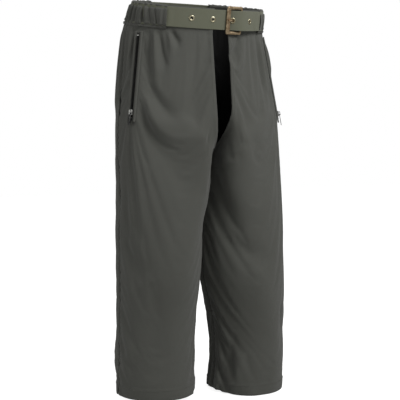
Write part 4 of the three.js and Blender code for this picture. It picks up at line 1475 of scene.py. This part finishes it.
def zip_strip(name, side, way, reach, lifts, thick, columns):
    """A strip beside the teeth; lifts gives (across, out) from its inner to its outer edge."""
    centre, across, up, out, half = zip_frame(side)
    inner, outer = lifts[0][0], lifts[-1][0]
    lift_across, lift_out = zip(*lifts)

    def place(share, rise):
        beside = mix(inner, outer, share)
        along = mix(-half - reach, half + reach, rise)
        lift = np.interp(beside, lift_across, lift_out) - TEETH_MIDDLE
        return centre + across * (way * beside)[:, None] + up * along[:, None] + out * lift[:, None]

    piece, share = grid_object(name, columns + 1, STRIP_ROWS + 1, place)
    set_uv(piece, share, outer - inner, 2 * (half + reach))
    if way < 0:
        turn_over(piece)
    thicken(piece, thick)
    return piece, 2 * (half + reach)


for side in SIDES:
    front_way = -1 if side == "left" else 1
    for part, way in (("front", front_way), ("back", -front_way)):
        tape, long = zip_strip(f"{side}_tape_{part}", side, way, ZIP_OVERRUN,
                               ((TAPE_INNER, TAPE_OUT), (TAPE_OUTER, TAPE_OUT)), 0.0005, 8)
        finish_piece(tape, "chaps", "zip_tape", zip_tape, f"{side}_zip_tape_{part}")
        welt, long = zip_strip(f"{side}_welt_{part}", side, way, ZIP_OVERRUN + WELT_OVERRUN,
                               tuple(zip(WELT_ACROSS, WELT_OUT)), 0.0004, 14)
        finish_piece(welt, "chaps", "shell_canvas", canvas)
print("each zip has two tapes under two welts")

# %% [markdown]
# ## Stitching
# Every seam is sewn twice, in a thick thread a shade off the canvas. Stitches could be bump in
# the material, but seams are where the eye rests, so each is a small rounded bar laid on the
# cloth and pressed into it a little.

# %% Stitch rows
STITCH_LONG = 0.0026
STITCH_PITCH = 0.0036
STITCH_THICK = 0.0006
STITCH_LIFT = 0.00012
STITCH_SIZE = (STITCH_LONG, STITCH_THICK, STITCH_THICK)
LINE_SAMPLES = 400


def stitched(name, matrices, *nodes):
    """One piece of thread, made of a small rounded bar at each place."""
    sewn = repeat_shape(name, bevelled_block(STITCH_SIZE, STITCH_THICK * 0.3), matrices)
    finish_piece(sewn, "chaps", "thread", thread, *nodes)


def along_line(values, run, steps):
    return np.stack([np.interp(steps, run, values[:, axis]) for axis in range(3)], -1)


def stitch_places(points, outs):
    """Frames at even steps along a line of points on the cloth."""
    run = np.concatenate([[0], np.cumsum(np.linalg.norm(np.diff(points, axis=0), axis=1))])
    steps = np.arange(STITCH_PITCH / 2, run[-1] - STITCH_PITCH / 2, STITCH_PITCH)
    spots = along_line(points, run, steps)
    facings = along_line(outs, run, steps)
    ahead = along_line(points, run, steps + 0.0005)
    matrices = []
    for spot, facing, front in zip(spots, facings, ahead):
        x = Vector(front - spot).normalized()
        y = Vector(facing).cross(x).normalized()
        z = x.cross(y)
        matrices.append(axes_matrix(Vector(spot) + z * STITCH_LIFT, x, y, z))
    return matrices


def leg_line(side, rounds, heights, samples=LINE_SAMPLES):
    """Points and outward directions along a straight line on the shell's own face."""
    share = np.linspace(0, 1, samples)
    round_deg = np.interp(share, (0, 1), rounds)
    height = np.interp(share, (0, 1), heights)
    depth = shell_depth(round_deg, height)
    round_deg = round_deg + slit_shift(round_deg, height)
    points = on_leg(side, round_deg, height, depth)
    outs = on_leg(side, round_deg, height, depth - 0.001) - points
    return points, outs


print("a stitch is", STITCH_LONG * 1000, "mm long")

# %% Stitches on the legs
EDGE_ROWS = (0.0022, 0.0072)
SEAM_ROWS = (0.0030, 0.0075)
HEM_ROW = 0.021
SEAM_FOOT = 0.004
ROW_MARGIN = 0.006        # between a row's end and the crotch
TACK_LONG = 0.006
TACK_WIDE = 5.5           # degrees round the leg
TACK_AWAY = 0.004         # from the slit's ends


def leg_rows(side):
    """Two rows at every edge and seam of a leg, and one round its hem."""
    edge = (CROTCH_HEIGHT + ROW_MARGIN, BAND_FOOT)
    side_seam = (SEAM_FOOT, BAND_FOOT - SEAM_FOOT)
    inseam = (SEAM_FOOT, CROTCH_HEIGHT - ROW_MARGIN)
    rows = []
    for inset in EDGE_ROWS:
        away = inset / DEGREE_LENGTH
        rows.append(leg_line(side, (away, away), edge))
        rows.append(leg_line(side, (360 - away, 360 - away), edge))
    for inset in SEAM_ROWS:
        away = inset / DEGREE_LENGTH
        rows.append(leg_line(side, (180 + away, 180 + away), side_seam))
        rows.append(leg_line(side, (360 - away, 360 - away), inseam))
    rows.append(leg_line(side, (0.8, 359.2), (HEM_ROW, HEM_ROW)))
    return rows


def bar_tack(side, middle_height, turns=9):
    """A dense block of short stitches across the side seam."""
    matrices = []
    for step in np.linspace(-0.5, 0.5, turns):
        height = middle_height + step * TACK_LONG
        points, outs = leg_line(side, (180 - TACK_WIDE / 2, 180 + TACK_WIDE / 2), (height, height), 3)
        run = points[2] - points[0]
        x = Vector(run).normalized()
        y = Vector(outs[1]).cross(x).normalized()
        z = x.cross(y)
        stretch = Matrix.Diagonal((np.linalg.norm(run) / STITCH_LONG, 1.2, 1.6, 1))
        matrices.append(axes_matrix(Vector(points[1]) + z * 0.0003, x, y, z) @ stretch)
    return matrices


def stitch_rows(rows):
    matrices = []
    for points, outs in rows:
        matrices += stitch_places(points, outs)
    return matrices


for side in SIDES:
    matrices = stitch_rows(leg_rows(side))
    stitched(f"{side}_seam_stitches", matrices)
    stitched(f"{side}_slit_tack", bar_tack(side, SLIT_FOOT - TACK_AWAY), f"{side}_slit_bar_tack")
    stitched(f"{side}_slit_top_tack", bar_tack(side, SLIT_FOOT + SLIT_TALL + TACK_AWAY))
    print(side, "leg has", len(matrices), "stitches")

# %% Tunnel, zip and belt stitches
TUNNEL_ROW_LEVELS = (0.13, 0.87)
ZIP_ROW = 0.0070
BOX_HALF = 0.016


def tunnel_rows(side):
    """Along the top and the foot of a tunnel."""
    rows = []
    angle = np.linspace(TUNNEL_MOUTH + 0.6, BACK_EDGE_ANGLE - 0.6, 700)
    for level in TUNNEL_ROW_LEVELS:
        points = tunnel_face(side, angle, np.full_like(angle, level))
        outs = points - tunnel_face(side, angle, np.full_like(angle, level), -0.001)
        rows.append((points, outs))
    return rows


def zip_rows(side):
    """A long row on each welt, and a short one across each end."""
    centre, across, up, out, half = zip_frame(side)
    reach = half + ZIP_OVERRUN
    face = centre + out * (WELT_FACE - TEETH_MIDDLE)
    outs = np.array([out, out])
    rows = []
    for beside in (-ZIP_ROW, ZIP_ROW):
        rows.append((np.array([face + across * beside + up * way * reach for way in (-1, 1)]), outs))
    for way in (-1, 1):
        end = face + up * way * (reach + 0.001)
        rows.append((np.array([end + across * beside for beside in (-ZIP_ROW, ZIP_ROW)]), outs))
    return rows


def belt_box_rows():
    """A crossed box that sews the flap of the belt to the strap behind the buckle."""
    low, high = angle_after(HEEL_ANGLE, 0.012), angle_after(HEEL_ANGLE, LOOP_FLAP - 0.003)
    corners = [(low, -BOX_HALF), (high, -BOX_HALF), (high, BOX_HALF), (low, BOX_HALF),
               (low, -BOX_HALF), (high, BOX_HALF)]
    rows = []
    for (from_angle, from_up), (to_angle, to_up) in zip(corners, corners[1:]):
        share = np.linspace(0, 1, 40)
        angle, up = mix(from_angle, to_angle, share), mix(from_up, to_up, share)
        out = fixed_out(angle) + BELT_THICK / 2
        points = waist_place(angle, up, out)
        rows.append((points, waist_place(angle, up, out + 0.001) - points))
    return rows


for side in SIDES:
    stitched(f"{side}_band_stitches", stitch_rows(tunnel_rows(side) + zip_rows(side)))
stitched("belt_box_stitches", stitch_rows(belt_box_rows()))
print("tunnels, zips and belt are sewn")
